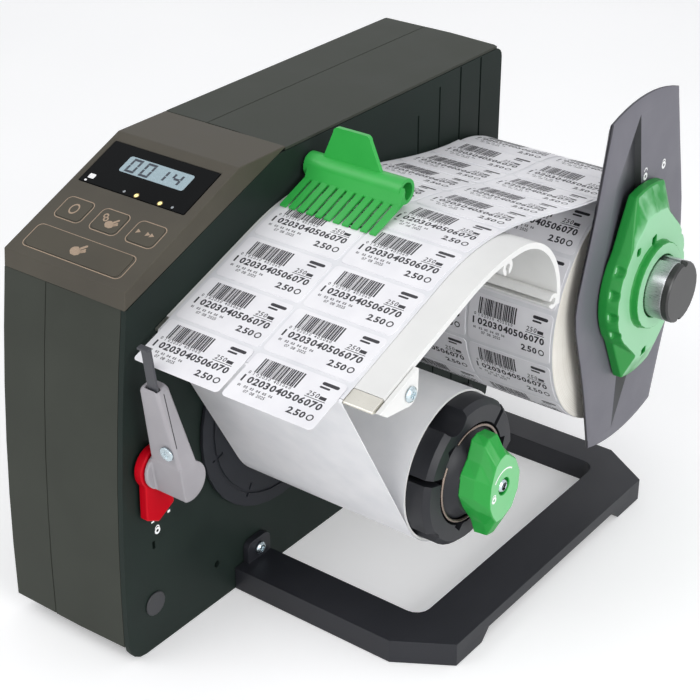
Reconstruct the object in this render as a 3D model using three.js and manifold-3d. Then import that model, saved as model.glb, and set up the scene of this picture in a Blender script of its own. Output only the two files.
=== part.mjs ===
import * as THREE from 'three';
import { mergeVertices } from 'three/addons/utils/BufferGeometryUtils.js';
import Module from 'manifold-3d';

// Label dispenser machine: a desk machine that peels self-adhesive labels from their carrier.
// Millimetres. X runs from the side plate out along the shafts, Y to the back, Z up.
// In the working frame X = 0 is the near face of the side plate and Z = 0 is the desk.

const wasm = await Module();
wasm.setup();

// Clearances and helpers' sizes
const fit = 0.3;
const overrun = 5;
const weld = 1e-4;
const edgeBreak = 1;

// Facets of round forms and steps of rounded corners
const pinFacets = 12;
const postFacets = 8;
const barrelFacets = 16;
const tubeFacets = 24;
const ringFacets = 32;
const discFacets = 36;
const mandrelFacets = 45;
const rollFacets = 54;
const cornerSteps = 4;
const smallCornerSteps = 2;

// Housing
const plateThickness = 3.5;
const housingWidth = 88;
const housingDepth = 364;
const housingHeight = 264.8;
const shellLift = 11;
const coverWall = 2.5;
const rimThickness = 1.5;
const flangeDepth = 10;
const seamFromPlate = 56.5;
const creaseFromPlate = 37;
const creaseFall = 1.2;
const frontLean = 16.4;
const panelFootDrop = 47.6;
const panelFootHeight = housingHeight - panelFootDrop;
const panelDepth = 146;
const panelFootSlope = 0.362;
const rearCornerRadius = 6;
const plateCornerRadius = 13;
const plateGrooveWidth = 1.6;
const plateGrooveDepth = 0.8;
const grooveFoot = 20;
const grooveRearMargin = 24.4;
const groovePitch = 22.4;
const grooveCount = 4;
const grooveTopDrop = 0.6;
const grooveTopFall = 6.4;
const baseThickness = 2.7;
const rearPanelThickness = 2.5;
const rearPanelSink = 2;
const frontSteps = 6;
const grooveFallPower = 1.5;

// Control panel
const panelSlope = 0.417;
const panelLipY = 17;
const panelFaceDrop = 44.8;
const panelFaceHeight = housingHeight - panelFaceDrop;
const panelWall = 3;
const lipRound = 2.6;
const lipFallShare = 0.1;
const windowLeft = 84.2;
const windowRight = 7.4;
const windowStart = 58.3;
const windowLength = 32.9;
const windowEnd = windowStart + windowLength;
const windowThickness = 1.4;
const windowSink = 0.6;
const windowLedge = 1.6;
const lcdLeft = 66.3;
const lcdRight = 19.8;
const lcdRise = 13.9;
const lcdLength = 12.1;
const lcdStart = windowStart + lcdRise;
const lcdEnd = lcdStart + lcdLength;
const lcdGlassGap = 0.4;
const lampRadius = 1.5;
const lampRise = 8;
const lampInset = 3.4;
const lampShares = [0.43, 0.545, 0.765, 0.88];
const keyWidth = 17.8;
const keyHeight = 14.8;
const keyStart = 31;
const keyPitch = 26;
const keyRightEdge = 8.2;
const keyCount = 3;
const wideKeyWidth = 67.9;
const wideKeyHeight = 16;
const wideKeyStart = 7;
const wideKeyRightEdge = 11.4;
const keyCorner = 3;
const keyThickness = 2.2;
const keyStemRadius = 2.2;
const keyTravel = 0.5;
const boardThickness = 1.6;
const displayBoardDepth = 12;
const displayBoardStart = 6;
const displayBoardEnd = 93;
const displayBoardMargin = 4;
const boardPostRadius = 2.4;
const panelHollowEnd = 122;

// Holes and small pieces of the side plate
const plugY = 23.5;
const plugHeight = 30.1;
const plugRadius = 7.5;
const plugHeadThickness = 0.8;
const plugHeadOverlap = 1;
const smallHoleRadius = 2.2;
const smallHoleY = 76;
const smallHoleHeight = 26.3;
const smallSlotWidth = 2.2;
const smallSlotLength = 5;
const smallSlotY = 25.8;
const smallSlotHeight = 68.4;

// Carrier web and labels
const mediaStart = 3.2;
const mediaEnd = 122.5;
const webThickness = 0.35;
const labelThickness = 0.3;
const labelWidth = 56.6;
const labelColumnGap = 2.2;
const labelLength = 31.6;
const labelPitch = 34.2;
const labelCorner = 2.4;
const labelOverhang = 22.5;
const labelRows = 8;
const crownWebSteps = 6;
const slackWebSteps = 8;
const linerWrapAngle = 1.7;
const linerWrapSteps = 12;
const linerNoseSteps = 8;
const webLeaveY = 172;
const webPullY = 210;
const webSagY = 262;
const webPullRise = 1.2;
const webSagRise = 0.9;

// Dispensing platform
const rampSlope = 0.362;
const rampDrop = 79;
const rampHeight = housingHeight - rampDrop;
const rampStart = 46;
const rampBendY = 118;
const crownRadius = 137;
const rampAngle = Math.atan(rampSlope);
const rampAt = (y) => rampHeight + rampSlope * y;
const crownY = rampBendY + crownRadius * Math.sin(rampAngle);
const crownCentre = rampAt(rampBendY) - crownRadius * Math.cos(rampAngle);
const crownTop = crownCentre + crownRadius;
const archRadius = 45;
const archEndAngle = -0.12;
const crownSteps = 7;
const archSteps = 14;
const platformWall = 3.4;
const platformEnd = 140;
const portRadius = 4.6;
const portBore = 2.1;
const portMouth = 2.4;
const portSink = 1.2;
const portCrownOffset = 11;
const portArchAngle = -0.04;
const frontPortY = 63;
const frontPortDrop = 10.306;
const frontPortHeight = rampAt(frontPortY) - frontPortDrop;
const peelNoseY = 36.4;
const peelNoseThickness = 1.8;
const peelBarDepth = 13;
const peelBarThickness = 5;
const lugThickness = 3;
const lugArcStart = -1.95;
const lugArcEnd = -0.16;
const lugArcSteps = 6;
const lugCorner = 6;
const lugScrewRadius = 4.3;
const lugScrewHeight = 2;
const lugScrewShank = 1.8;
const lugScrewLength = 16;

// Rewinder
const rewinderY = 133;
const rewinderHeight = 113.3;
const discRadius = 67;
const discStart = 0.8;
const discThickness = 2;
const discGrooveRadius = 59;
const discGrooveWidth = 2;
const discGrooveDepth = 0.9;
const discSlotCount = 8;
const discSlotLength = 9;
const discSlotPhaseShare = 0.3;
const mandrelRadius = 42;
const mandrelBore = 26;
const mandrelMouthRadius = 29.6;
const mandrelMouthDepth = 14;
const mandrelEnd = 136;
const mandrelSplit = 3.4;
const mandrelChamfer = 3;
const segmentTravel = 0.6;
const guideWidth = 6;
const guideOffset = 14;
const guideReach = 28;
const guideFoot = 15;
const guideLength = 96;
const firstSplitAngle = 0.733;
const coreRadius = 24;
const scoopRadius = 9;
const scoopAngle = 1.93;
const nickRadius = 5;
const fluteOffset = 1;
const nickAngle = -2.5;
const clipWire = 0.85;
const clipDepth = 3.4;
const clipGap = 0.8;
const clipOpening = 0.9;
const clipStartAngle = 2.1;
const clipSides = 6;
const clipSteps = 28;
const takeUpRadius = 43.5;
const axleRadius = 8;
const axleOverhang = 2;
const knobBaseHalfWidth = 22;
const knobBaseHalfHeight = 27.5;
const knobWaistHalfWidth = 20;
const knobWaistHalfHeight = 31;
const knobFaceHalfWidth = 14.5;
const knobFaceHalfHeight = 26.5;
const knobStem = 20;
const knobStemOverlap = 1;
const knobGap = 1;
const knobSkirtDepth = 8;
const knobGripDepth = 12;
const knobBase = mandrelEnd + knobGap;
const knobWaist = knobBase + knobSkirtDepth;
const knobFace = knobWaist + knobGripDepth;
const knobScrewRadius = 4;
const knobScrewHeight = 2.4;
const knobScrewShank = 2.5;
const knobScrewLength = 24;
const screwCrownShare = 0.7;
const crossWidthShare = 0.17;
const crossLengthShare = 0.5;
const knobFaceShares = [[-0.62, -0.9], [-0.2, -0.9], [0.14, -0.77], [0.97, -0.34], [1.03, 0.11],
  [0.97, 0.3], [0.62, 0.53], [0.07, 0.83], [-0.31, 1.04], [-0.62, 1.2]];
const knobSkirtShares = [[-0.9, -0.5], [-0.45, -1], [0.3, -1], [0.95, -0.45], [1, 0.1],
  [0.95, 0.35], [0.7, 0.7], [0.3, 1], [-0.4, 1], [-0.85, 0.55]];
const knobRecessRadius = 6;
const knobRecessDepth = 2.6;

// Rewinder drive inside the housing
const bearingOuter = 16;
const bearingWidth = 9;
const bearingRings = 3;
const bearingDishShare = 0.11;
const bearingStop = 2;
const bearingHousingLength = 30.6;
const housingTubeRadius = 20;
const housingFlangeRadius = 30;
const housingFlangeThickness = 4;
const rewindPulleyRadius = 24;
const motorPulleyRadius = 10;
const pulleyWidth = 8;
const pulleyFlange = 1.2;
const pulleyFlangeRise = 2;
const pulleyStart = -43;
const beltThickness = 1.4;
const beltSteps = 14;
const motorY = 70;
const motorHeight = 70;
const motorSize = 56;
const motorLength = 30;
const motorCorner = 6;
const motorShaftRadius = 3;
const motorBossRadius = 12;
const motorBossHeight = 1;

// Unwinder
const shaftY = 312;
const shaftHeight = 158.5;
const shaftRadius = 19;
const shaftWall = 3;
const shaftEnd = 160;
const keywayWidth = 6;
const keywayDepth = 2;
const capThickness = 4.6;
const capPlug = 12;
const capNotchRadius = 2.6;
const capNotchAngle = 1.5;
const shaftFlangeRadius = 32;
const shaftFlangeThickness = 2.4;
const rollRadius = 75.5;
const coreInner = 38;
const coreWall = 2.4;

// Margin stop
const stopGap = 3.5;
const stopStart = mediaEnd + stopGap;
const stopThickness = 5;
const stopTipRadius = 115;
const stopHalfWidth = 60;
const stopTipHalfWidth = 36;
const stopRecessDepth = 2.4;
const stopRecessLength = 104;
const stopRecessTip = 6.5;
const stopRecessNear = 1.7;
const stopRecessKnee = 56;
const stopRecessFar = 44.6;
const stopSideShares = [[1, 0], [0.985, 0.2], [0.92, 0.38], [0.8, 0.67], [0.66, 0.87]];
const stopTipSteps = 6;
const stopHubRadius = 24;
const stopHubDepth = 16;
const ringGap = 1;
const ringDepth = 12.5;
const ringStart = stopStart + stopThickness + ringGap;
const ringFace = ringStart + ringDepth;
const ringDiscRadius = 43;
const ringFaceDiscRadius = 41;
const ringWingRadius = 62;
const ringFaceWingRadius = 46;
const ringRimDepth = 6;
const ringWingHalfAngle = 0.27;
const ringHubRadius = 27;
const ringHubRise = 5;
const scallopRadius = 4;
const scallopDepth = 6;
const scallopCount = 4;
const scallopStartAngle = 2.625;
const scallopSpan = 1.05;
const scallopSinkShare = 0.2;
const ringShoulderAngle = 0.75;
const ringShoulderSteps = 8;
const ringHoleAngles = [2.2, 5.34];
const ringHole = 4;
const ringHoleDepth = 4;

// Comb
const combY = 166;
const combLift = 11.703;
const combHeight = crownTop + combLift;
const combStart = 2;
const combLength = 65;
const tubeRadius = 7.3;
const tubeBore = 5.2;
const combRodRadius = 4.8;
const combRodLength = 44;
const tineCount = 11;
const slotWidth = 1.9;
const tineReach = 31.5;
const tineRootReach = 9.5;
const tabBaseHalf = 21;
const tabTopHalf = 12.5;
const tabHeight = 26;
const tabCorner = 3;
const tineStart = 4.8;
const tineEnd = 69.6;
const tineTipThickness = 1.1;
const tineRootHeight = 9.5;
const tabThickness = 2.6;
const tabCentre = 31;
const bladeFrontShares = [0.9, 0.5];
const bladeTopShare = 0.6;
const tabFootShare = 0.5;

// Sensor arm and lock lever
const pivotY = 25.2;
const pivotDrop = 63.3;
const pivotHeight = rampHeight - pivotDrop;
const armLean = 0.148;
const armStart = 8.3;
const armHubEnd = 31.5;
const armHubRadius = 13.2;
const armLength = 60;
const armTopStart = 10;
const armTopEnd = 22.7;
const armTopDepth = 9.4;
const armFootDepth = 12.6;
const armSlotWidth = 8.6;
const armSlotDepth = 3.4;
const armSlotBack = 0.5;
const armWaistUp = 9;
const armBoreEnd = 29.5;
const armScrewShank = 1.6;
const armScrewDepth = 9;
const armSlotLength = 10;
const armScrewRadius = 4.4;
const armScrewHeight = 1.2;
const armScrewUp = 19;
const feelerWidth = 7;
const feelerThickness = 1.2;
const feelerRise = 23;
const feelerHook = 2.4;
const feelerPinRadius = 1.4;
const leverStart = 2;
const leverThickness = 5.6;
const leverRadius = 15;
const leverReach = 34.5;
const leverCornerReach = 31;
const leverHalfAngle = 0.46;
const leverLean = 0.02;
const pivotBoltRadius = 5;
const boltHeadRadius = 9;
const boltHeadThickness = 4;

// Foot frame and feet
const frameStartY = 91;
const frameEndY = 340;
const frameReach = 145.3;
const frameHeight = 15;
const frontLegWidth = 28.6;
const rearLegWidth = 22.6;
const barWidth = 31;
const frameChamferX = 32;
const frameChamferY = 20;
const frameInnerRadius = 9;
const archLift = 7;
const archInset = 46;
const earHeight = 14;
const earThickness = 4.2;
const earLength = 20;
const earCentreY = 109;
const earCorner = 5;
const frameScrewHeight = 21.5;
const frameScrewHead = 4;
const frameScrewHeadHeight = 2.2;
const frameScrewShank = 2;
const frameScrewLength = 13;
const footRadius = 8;
const footInset = 16;

// Electrical pieces
const supplyLength = 96;
const supplyMargin = 26;
const supplyWidth = housingWidth - supplyMargin;
const supplyHeight = 34;
const mainBoardLength = 88;
const mainBoardMargin = 26;
const mainBoardWidth = housingWidth - mainBoardMargin;
const standoffHeight = 8;
const standoffRadius = 3;
const standoffInset = 5;
const chipHeight = 3;
const capacitorRadius = 6;
const capacitorHeight = 16;
const inletWidth = 27;
const inletHeight = 20;
const inletDepth = 18;
const inletFlange = 2.2;
const inletFlangeSide = 11;
const inletX = -44;
const inletZ = 42;
const pinWidth = 4;
const pinThickness = 2;
const pinLength = 10;
const pinSpread = 7;
const supplyRearGap = 42;
const boardRearGap = 14;
const supplyStartY = housingDepth - rearPanelSink - inletDepth - supplyRearGap - supplyLength;
const boardStartY = supplyStartY - boardRearGap - mainBoardLength;
const ventCount = 7;
const ventWidth = 4;
const ventDepth = 2;
const ventInset = 8;
const chipShares = [[0.3, 0.25, 0.2], [0.7, 0.3, 0.16], [0.4, 0.62, 0.24]];
const capacitorShares = [[0.8, 0.78], [0.55, 0.85]];

// Colours
function paint(color, roughness, metalness = 0) {
  return new THREE.MeshStandardMaterial({ color, roughness, metalness });
}


const darkShell = paint(0x3a403c, 0.62);
const darkPlate = paint(0x29302d, 0.58);
const brownShell = paint(0x57534c, 0.62);
const blackPlastic = paint(0x232427, 0.45);
const glossBlack = paint(0x0c1011, 0.12);
const keyBrown = paint(0x56524a, 0.6);
const whiteAluminium = paint(0xf0efec, 0.45);
const bareAluminium = paint(0xb9babc, 0.32, 0.9);
const steel = paint(0xb4b6ba, 0.3, 0.95);
const green = paint(0x36a84b, 0.42);
const red = paint(0xc8102e, 0.42);
const paleGrey = paint(0xaaa7ab, 0.5);
const midGrey = paint(0x6d6d72, 0.48);
const paperWhite = paint(0xf4f3f1, 0.75);
const linerWhite = paint(0xdadbdd, 0.5);
const cardboard = paint(0xa98a64, 0.85);
const rubber = paint(0x1b1b1c, 0.85);
const framePaint = paint(0x1d1e22, 0.5);
const boardGreen = paint(0x1f5a38, 0.55);
const zinc = paint(0xc3cbd0, 0.28, 0.9);

// Solids from geometries

function solidOf(geometry) {
  const bare = new THREE.BufferGeometry();
  bare.setAttribute('position', geometry.getAttribute('position'));
  if (geometry.index) bare.setIndex(geometry.index);
  const merged = mergeVertices(bare, weld);
  const vertProperties = Float32Array.from(merged.getAttribute('position').array);
  const triangles = [];
  const index = merged.index.array;
  for (let i = 0; i < index.length; i += 3) {
    const [a, b, c] = [index[i], index[i + 1], index[i + 2]];
    if (a !== b && b !== c && c !== a) triangles.push([a, b, c]);
  }
  const corner = (i) => new THREE.Vector3().fromArray(vertProperties, i * 3);
  const volume = triangles.reduce((sum, [a, b, c]) => sum + corner(a).dot(corner(b).cross(corner(c))), 0);
  const turned = volume < 0 ? triangles.map(([a, b, c]) => [a, c, b]) : triangles;
  const triVerts = Uint32Array.from(turned.flat());
  return new wasm.Manifold(new wasm.Mesh({ numProp: 3, vertProperties, triVerts }));
}

function geometryOf(solid) {
  const mesh = solid.getMesh();
  const geometry = new THREE.BufferGeometry();
  geometry.setAttribute('position', new THREE.BufferAttribute(Float32Array.from(mesh.vertProperties), 3));
  geometry.setIndex(new THREE.BufferAttribute(Uint32Array.from(mesh.triVerts), 1));
  geometry.computeVertexNormals();
  return geometry;
}

function outline(points) {
  return new THREE.Shape(points.map(([u, v]) => new THREE.Vector2(u, v)));
}

// A shape drawn in (Y, Z), swept from x0 to x1
function alongX(shape, x0, x1, curveSegments = cornerSteps) {
  const geometry = new THREE.ExtrudeGeometry(shape, { depth: x1 - x0, bevelEnabled: false, curveSegments });
  geometry.applyMatrix4(new THREE.Matrix4().set(0, 0, 1, x0, 1, 0, 0, 0, 0, 1, 0, 0, 0, 0, 0, 1));
  return solidOf(geometry);
}

// A shape drawn in (X, Y), swept from z0 to z1
function alongZ(shape, z0, z1, curveSegments = smallCornerSteps) {
  const geometry = new THREE.ExtrudeGeometry(shape, { depth: z1 - z0, bevelEnabled: false, curveSegments });
  geometry.translate(0, 0, z0);
  return solidOf(geometry);
}

// A shape drawn in (X, Z), swept from y0 to y1
function alongY(shape, y0, y1) {
  const geometry = new THREE.ExtrudeGeometry(shape, { depth: y1 - y0, bevelEnabled: false });
  geometry.applyMatrix4(new THREE.Matrix4().set(1, 0, 0, 0, 0, 0, -1, y1, 0, 1, 0, 0, 0, 0, 0, 1));
  return solidOf(geometry);
}

function block(x0, x1, y0, y1, z0, z1) {
  const geometry = new THREE.BoxGeometry(x1 - x0, y1 - y0, z1 - z0);
  geometry.translate((x0 + x1) / 2, (y0 + y1) / 2, (z0 + z1) / 2);
  return solidOf(geometry);
}

// A profile of [x, radius] points turned about the X axis through (y, z)
function turned(profile, y = 0, z = 0, segments = barrelFacets) {
  const points = profile.map(([x, radius]) => new THREE.Vector2(radius, x));
  const geometry = new THREE.LatheGeometry(points, segments);
  geometry.applyMatrix4(new THREE.Matrix4().set(0, 1, 0, 0, 0, 0, 1, y, 1, 0, 0, z, 0, 0, 0, 1));
  return solidOf(geometry);
}

function rod(radius, x0, x1, y = 0, z = 0, segments = barrelFacets) {
  return turned([[x0, 0], [x0, radius], [x1, radius], [x1, 0]], y, z, segments);
}

function tube(outer, inner, x0, x1, y = 0, z = 0, segments = ringFacets) {
  return turned([[x0, inner], [x0, outer], [x1, outer], [x1, inner], [x0, inner]], y, z, segments);
}

function post(radius, x, y, z0, z1, segments = postFacets) {
  const geometry = new THREE.CylinderGeometry(radius, radius, z1 - z0, segments);
  geometry.rotateX(Math.PI / 2);
  geometry.translate(x, y, (z0 + z1) / 2);
  return solidOf(geometry);
}

// A body through rings of [u, v] points that lie at one level each along the third axis
function loft(rings) {
  const count = rings[0].points.length;
  const positions = rings.flatMap(({ level, points }) => points.flatMap(([u, v]) => [u, v, level]));
  const indices = [];
  for (let k = 0; k + 1 < rings.length; k += 1) {
    for (let i = 0; i < count; i += 1) {
      const j = (i + 1) % count;
      const [a, b, c, d] = [k * count + i, k * count + j, (k + 1) * count + j, (k + 1) * count + i];
      indices.push(a, b, c, a, c, d);
    }
  }
  for (const k of [0, rings.length - 1]) {
    const flat = rings[k].points.map(([u, v]) => new THREE.Vector2(u, v));
    for (const [a, b, c] of THREE.ShapeUtils.triangulateShape(flat, [])) {
      const face = [k * count + a, k * count + b, k * count + c];
      indices.push(...(k === 0 ? face.reverse() : face));
    }
  }
  const geometry = new THREE.BufferGeometry();
  geometry.setAttribute('position', new THREE.Float32BufferAttribute(positions, 3));
  geometry.setIndex(indices);
  return geometry;
}

// A loft along X through outlines of [y, z] points
function loftX(sections) {
  const geometry = loft(sections.map(({ x, points }) => ({ level: x, points })));
  geometry.applyMatrix4(new THREE.Matrix4().set(0, 0, 1, 0, 1, 0, 0, 0, 0, 1, 0, 0, 0, 0, 0, 1));
  return solidOf(geometry);
}

function joined(...solids) {
  return solids.reduce((sum, solid) => sum.add(solid));
}

function cut(solid, ...tools) {
  return tools.reduce((rest, tool) => rest.subtract(tool), solid);
}

function roundedRectangle(u0, u1, v0, v1, radius) {
  const shape = new THREE.Shape();
  shape.moveTo(u0 + radius, v0);
  shape.lineTo(u1 - radius, v0);
  shape.absarc(u1 - radius, v0 + radius, radius, -Math.PI / 2, 0);
  shape.absarc(u1 - radius, v1 - radius, radius, 0, Math.PI / 2);
  shape.absarc(u0 + radius, v1 - radius, radius, Math.PI / 2, Math.PI);
  shape.absarc(u0 + radius, v0 + radius, radius, Math.PI, Math.PI * 1.5);
  return shape;
}

function arcPoints(y, z, radius, from, to, count) {
  return Array.from({ length: count + 1 }, (unused, i) => {
    const angle = from + (to - from) * i / count;
    return [y + radius * Math.cos(angle), z + radius * Math.sin(angle)];
  });
}

function group(parent, y = 0, z = 0, x = 0) {
  const made = new THREE.Group();
  made.position.set(x, y, z);
  parent.add(made);
  return made;
}

function piece(parent, name, solid, material) {
  const mesh = new THREE.Mesh(geometryOf(solid), material.clone());
  mesh.name = name;
  parent.add(mesh);
  return mesh;
}

const footPlaces = [['left_front_foot', 2 * footInset], ['left_rear_foot', housingDepth - 2 * footInset]];

// The whole object, with its origin under the middle of its outer box

const frontMost = 0;
const rearMost = shaftY + rollRadius;
const farMost = -housingWidth;
const nearMost = shaftEnd + capThickness;
const machine = new THREE.Group();
machine.name = 'label_dispenser';
machine.position.set(-(farMost + nearMost) / 2, -(frontMost + rearMost) / 2, 0);

// Housing outline in the side view

const frontRise = panelFootHeight - shellLift;
const frontRadius = (frontRise ** 2 + frontLean ** 2) / (2 * frontLean);
const panelFoot = (y) => panelFootHeight + (y - frontLean) * panelFootSlope;
const frontY = (z) => frontRadius - Math.sqrt(frontRadius ** 2 - Math.max(z - shellLift, 0) ** 2);

function frontPoints(inset, topHeight) {
  return Array.from({ length: frontSteps + 1 }, (unused, i) => {
    const z = shellLift + (topHeight - shellLift) * (1 - i / frontSteps);
    return [frontY(z) + inset, z];
  });
}

function coverOutline(inset) {
  const top = housingHeight - inset;
  const rear = housingDepth;
  const edge = panelDepth + fit;
  const corner = rearCornerRadius;
  return [
    ...frontPoints(inset, panelFootHeight - fit),
    [rear, shellLift],
    ...arcPoints(rear - corner, top - corner, corner, 0, Math.PI / 2, cornerSteps),
    [edge, top],
    [edge, Math.min(panelFoot(edge), top) - fit],
  ];
}

// The hollow of the covers: open below, at the back and under the control panel
function coverHollow(inset) {
  const top = housingHeight - inset;
  return [
    ...frontPoints(inset, panelFootHeight - fit),
    [frontY(shellLift) + inset, -overrun],
    [housingDepth + overrun, -overrun],
    [housingDepth + overrun, top],
    [panelDepth - 2 * coverWall, top],
    [panelDepth - 2 * coverWall, housingHeight + overrun],
    [frontLean + inset, housingHeight + overrun],
  ];
}

function leftCover() {
  const seam = -seamFromPlate - fit;
  const shell = alongX(outline(coverOutline(0)), -housingWidth, seam);
  return cut(shell, alongX(outline(coverHollow(coverWall)), -housingWidth + coverWall, seam + overrun));
}

function rightCover() {
  const seam = -seamFromPlate + fit;
  const crease = -creaseFromPlate;
  const edge = -plateThickness - fit;
  const shell = loftX([
    { x: seam, points: coverOutline(0) },
    { x: crease, points: coverOutline(0) },
    { x: edge, points: coverOutline(creaseFall) },
  ]);
  const top = housingHeight - creaseFall;
  const hollow = alongX(outline(coverHollow(creaseFall + coverWall)), seam - overrun, 0);
  const back = panelDepth + fit;
  const rim = block(edge - fit, -fit, back, housingDepth - rearCornerRadius, top - rimThickness, top);
  const flange = alongX(outline([
    [frontLean + creaseFall, panelFootHeight - fit], [frontLean + creaseFall, panelFootHeight - flangeDepth],
    [back, panelFoot(back) - flangeDepth], [back, Math.min(panelFoot(back), top) - fit],
  ]), edge - coverWall, edge);
  return joined(cut(shell, hollow), rim, flange);
}

// Side plate: one flat plate that carries both shafts, the platform and the sensor arm

function sidePlate() {
  const top = housingHeight - creaseFall - rimThickness - fit;
  const foot = plateCornerRadius;
  const front = creaseFall;
  const seatEnd = frontLean + (top + fit - panelFootHeight) / panelFootSlope;
  const shape = outline([
    ...frontPoints(front, panelFootHeight - fit).slice(0, -1),
    ...arcPoints(front + foot, foot, foot, Math.PI, Math.PI * 1.5, cornerSteps),
    ...arcPoints(housingDepth - foot, foot, foot, -Math.PI / 2, 0, cornerSteps),
    ...arcPoints(housingDepth - foot / 2, top - foot / 2, foot / 2, 0, Math.PI / 2, cornerSteps),
    [seatEnd, top],
  ]);
  const blank = alongX(shape, -plateThickness, 0);
  const grooves = Array.from({ length: grooveCount }, (unused, i) => {
    const y = housingDepth - grooveRearMargin - i * groovePitch;
    const z = top - grooveTopDrop - grooveTopFall * Math.max(i - 1, 0) ** grooveFallPower;
    const half = plateGrooveWidth / 2;
    return block(-plateGrooveDepth, overrun, y - half, y + half, grooveFoot, z);
  });
  const through = [-plateThickness - overrun, overrun];
  const rearPort = ports.at(-1);
  const holes = [
    rod(axleRadius + 2 * fit, ...through, rewinderY, rewinderHeight),
    rod(pivotBoltRadius + fit, ...through, pivotY, pivotHeight),
    rod(combRodRadius + fit, ...through, combY, combHeight),
    rod(plugRadius - plugHeadOverlap, ...through, plugY, plugHeight),
    rod(smallHoleRadius, ...through, smallHoleY, smallHoleHeight, pinFacets),
    block(...through, smallSlotY - smallSlotWidth / 2, smallSlotY + smallSlotWidth / 2,
      smallSlotHeight - smallSlotLength / 2, smallSlotHeight + smallSlotLength / 2),
    rod(frameScrewShank + fit, ...through, earCentreY, frameScrewHeight, pinFacets),
    rod(lugScrewShank + fit, ...through, rearPort.y, rearPort.z, pinFacets),
  ];
  return cut(blank, ...grooves, ...holes);
}

function housing() {
  piece(machine, 'side_plate', sidePlate(), darkPlate);
  piece(machine, 'left_cover', leftCover(), darkShell);
  piece(machine, 'right_cover', rightCover(), darkShell);
  const inner = -housingWidth + coverWall + fit;
  const outer = -plateThickness - fit;
  const front = coverWall + creaseFall + 2 * fit;
  const rear = housingDepth - rearPanelSink;
  const ceiling = housingHeight - creaseFall - coverWall - fit;
  const floorTop = shellLift + baseThickness;
  const floor = block(inner, outer, front, rear, shellLift, floorTop);
  const boardX = inner + standoffInset + standoffRadius;
  const boardY = boardStartY + standoffInset;
  const spanX = mainBoardWidth - 2 * standoffInset;
  const spanY = mainBoardLength - 2 * standoffInset;
  const corners = [[0, 0], [1, 0], [0, 1], [1, 1]];
  const bosses = corners.map(([i, j]) => post(standoffRadius, boardX + i * spanX, boardY + j * spanY,
    floorTop - baseThickness / 2, floorTop + standoffHeight));
  piece(machine, 'base_plate', joined(floor, ...bosses), darkShell);

  const wall = block(inner, outer, rear - rearPanelThickness, rear, floorTop + fit, ceiling);
  const inletHole = block(inletX - inletWidth / 2 - fit, inletX + inletWidth / 2 + fit,
    rear - overrun, rear + overrun, inletZ - inletHeight / 2 - fit, inletZ + inletHeight / 2 + fit);
  piece(machine, 'rear_panel', cut(wall, inletHole), darkShell);
  piece(machine, 'mains_inlet', mainsInlet(rear), blackPlastic);

  const plug = turned([
    [-plateThickness - fit, 0],
    [-plateThickness - fit, plugRadius - plugHeadOverlap - fit],
    [fit, plugRadius - plugHeadOverlap - fit],
    [fit, plugRadius],
    [fit + plugHeadThickness / 2, plugRadius],
    [fit + plugHeadThickness, plugRadius - plugHeadThickness / 2],
    [fit + plugHeadThickness, 0],
  ], plugY, plugHeight);
  piece(machine, 'hole_plug', plug, blackPlastic);
  footPlaces.forEach(([name, y]) => piece(machine, name, rubberFoot(y), rubber));
}

function mainsInlet(rear) {
  const halfWidth = inletWidth / 2;
  const halfHeight = inletHeight / 2;
  const body = block(inletX - halfWidth, inletX + halfWidth, rear - inletDepth, rear + inletFlange,
    inletZ - halfHeight, inletZ + halfHeight);
  const flange = block(inletX - halfWidth - inletFlangeSide, inletX + halfWidth + inletFlangeSide,
    rear + fit, rear + inletFlange, inletZ - halfHeight - inletFlange, inletZ + halfHeight + inletFlange);
  const socket = block(inletX - halfWidth + inletFlange, inletX + halfWidth - inletFlange,
    rear - inletDepth + inletFlange, rear + inletFlange + overrun,
    inletZ - halfHeight + inletFlange, inletZ + halfHeight - inletFlange);
  const pins = [-1, 0, 1].map((i) => {
    const x = inletX + i * pinSpread;
    const z = inletZ + (i === 0 ? pinThickness : -pinThickness);
    const foot = rear - inletDepth + inletFlange / 2;
    return block(x - pinThickness / 2, x + pinThickness / 2, foot, foot + pinLength,
      z - pinWidth / 2, z + pinWidth / 2);
  });
  return joined(cut(joined(body, flange), socket), ...pins);
}

function rubberFoot(y) {
  const points = [
    [0, 0], [footRadius - edgeBreak, 0], [footRadius, edgeBreak], [footRadius, shellLift], [0, shellLift],
  ];
  const geometry = new THREE.LatheGeometry(points.map(([r, z]) => new THREE.Vector2(r, z)), barrelFacets);
  geometry.rotateX(Math.PI / 2);
  geometry.translate(-housingWidth + footInset, y, 0);
  return solidOf(geometry);
}

// Control panel, drawn in its own frame: U along X, S up the slanted face, N out of the face

const panelAngle = Math.atan(panelSlope);
const panelFrame = group(machine, panelLipY, panelFaceHeight + panelSlope * panelLipY);
panelFrame.rotation.x = panelAngle;

function onFace(y, z) {
  const dy = y - panelLipY;
  const dz = z - panelFaceHeight - panelSlope * panelLipY;
  return [dy * Math.cos(panelAngle) + dz * Math.sin(panelAngle),
    dz * Math.cos(panelAngle) - dy * Math.sin(panelAngle)];
}

function faceKey(x0, x1, s0, s1, n0, n1, corner) {
  return alongZ(roundedRectangle(x0, x1, s0, s1, corner), n0, n1);
}

const keys = [
  ...Array.from({ length: keyCount }, (unused, i) => {
    const right = -keyRightEdge - i * keyPitch;
    return { x0: right - keyWidth, x1: right, s0: keyStart, s1: keyStart + keyHeight };
  }),
  {
    x0: -wideKeyRightEdge - wideKeyWidth,
    x1: -wideKeyRightEdge,
    s0: wideKeyStart,
    s1: wideKeyStart + wideKeyHeight,
  },
];
const keyNames = ['key_right', 'key_middle', 'key_left', 'wide_key'];

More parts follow.
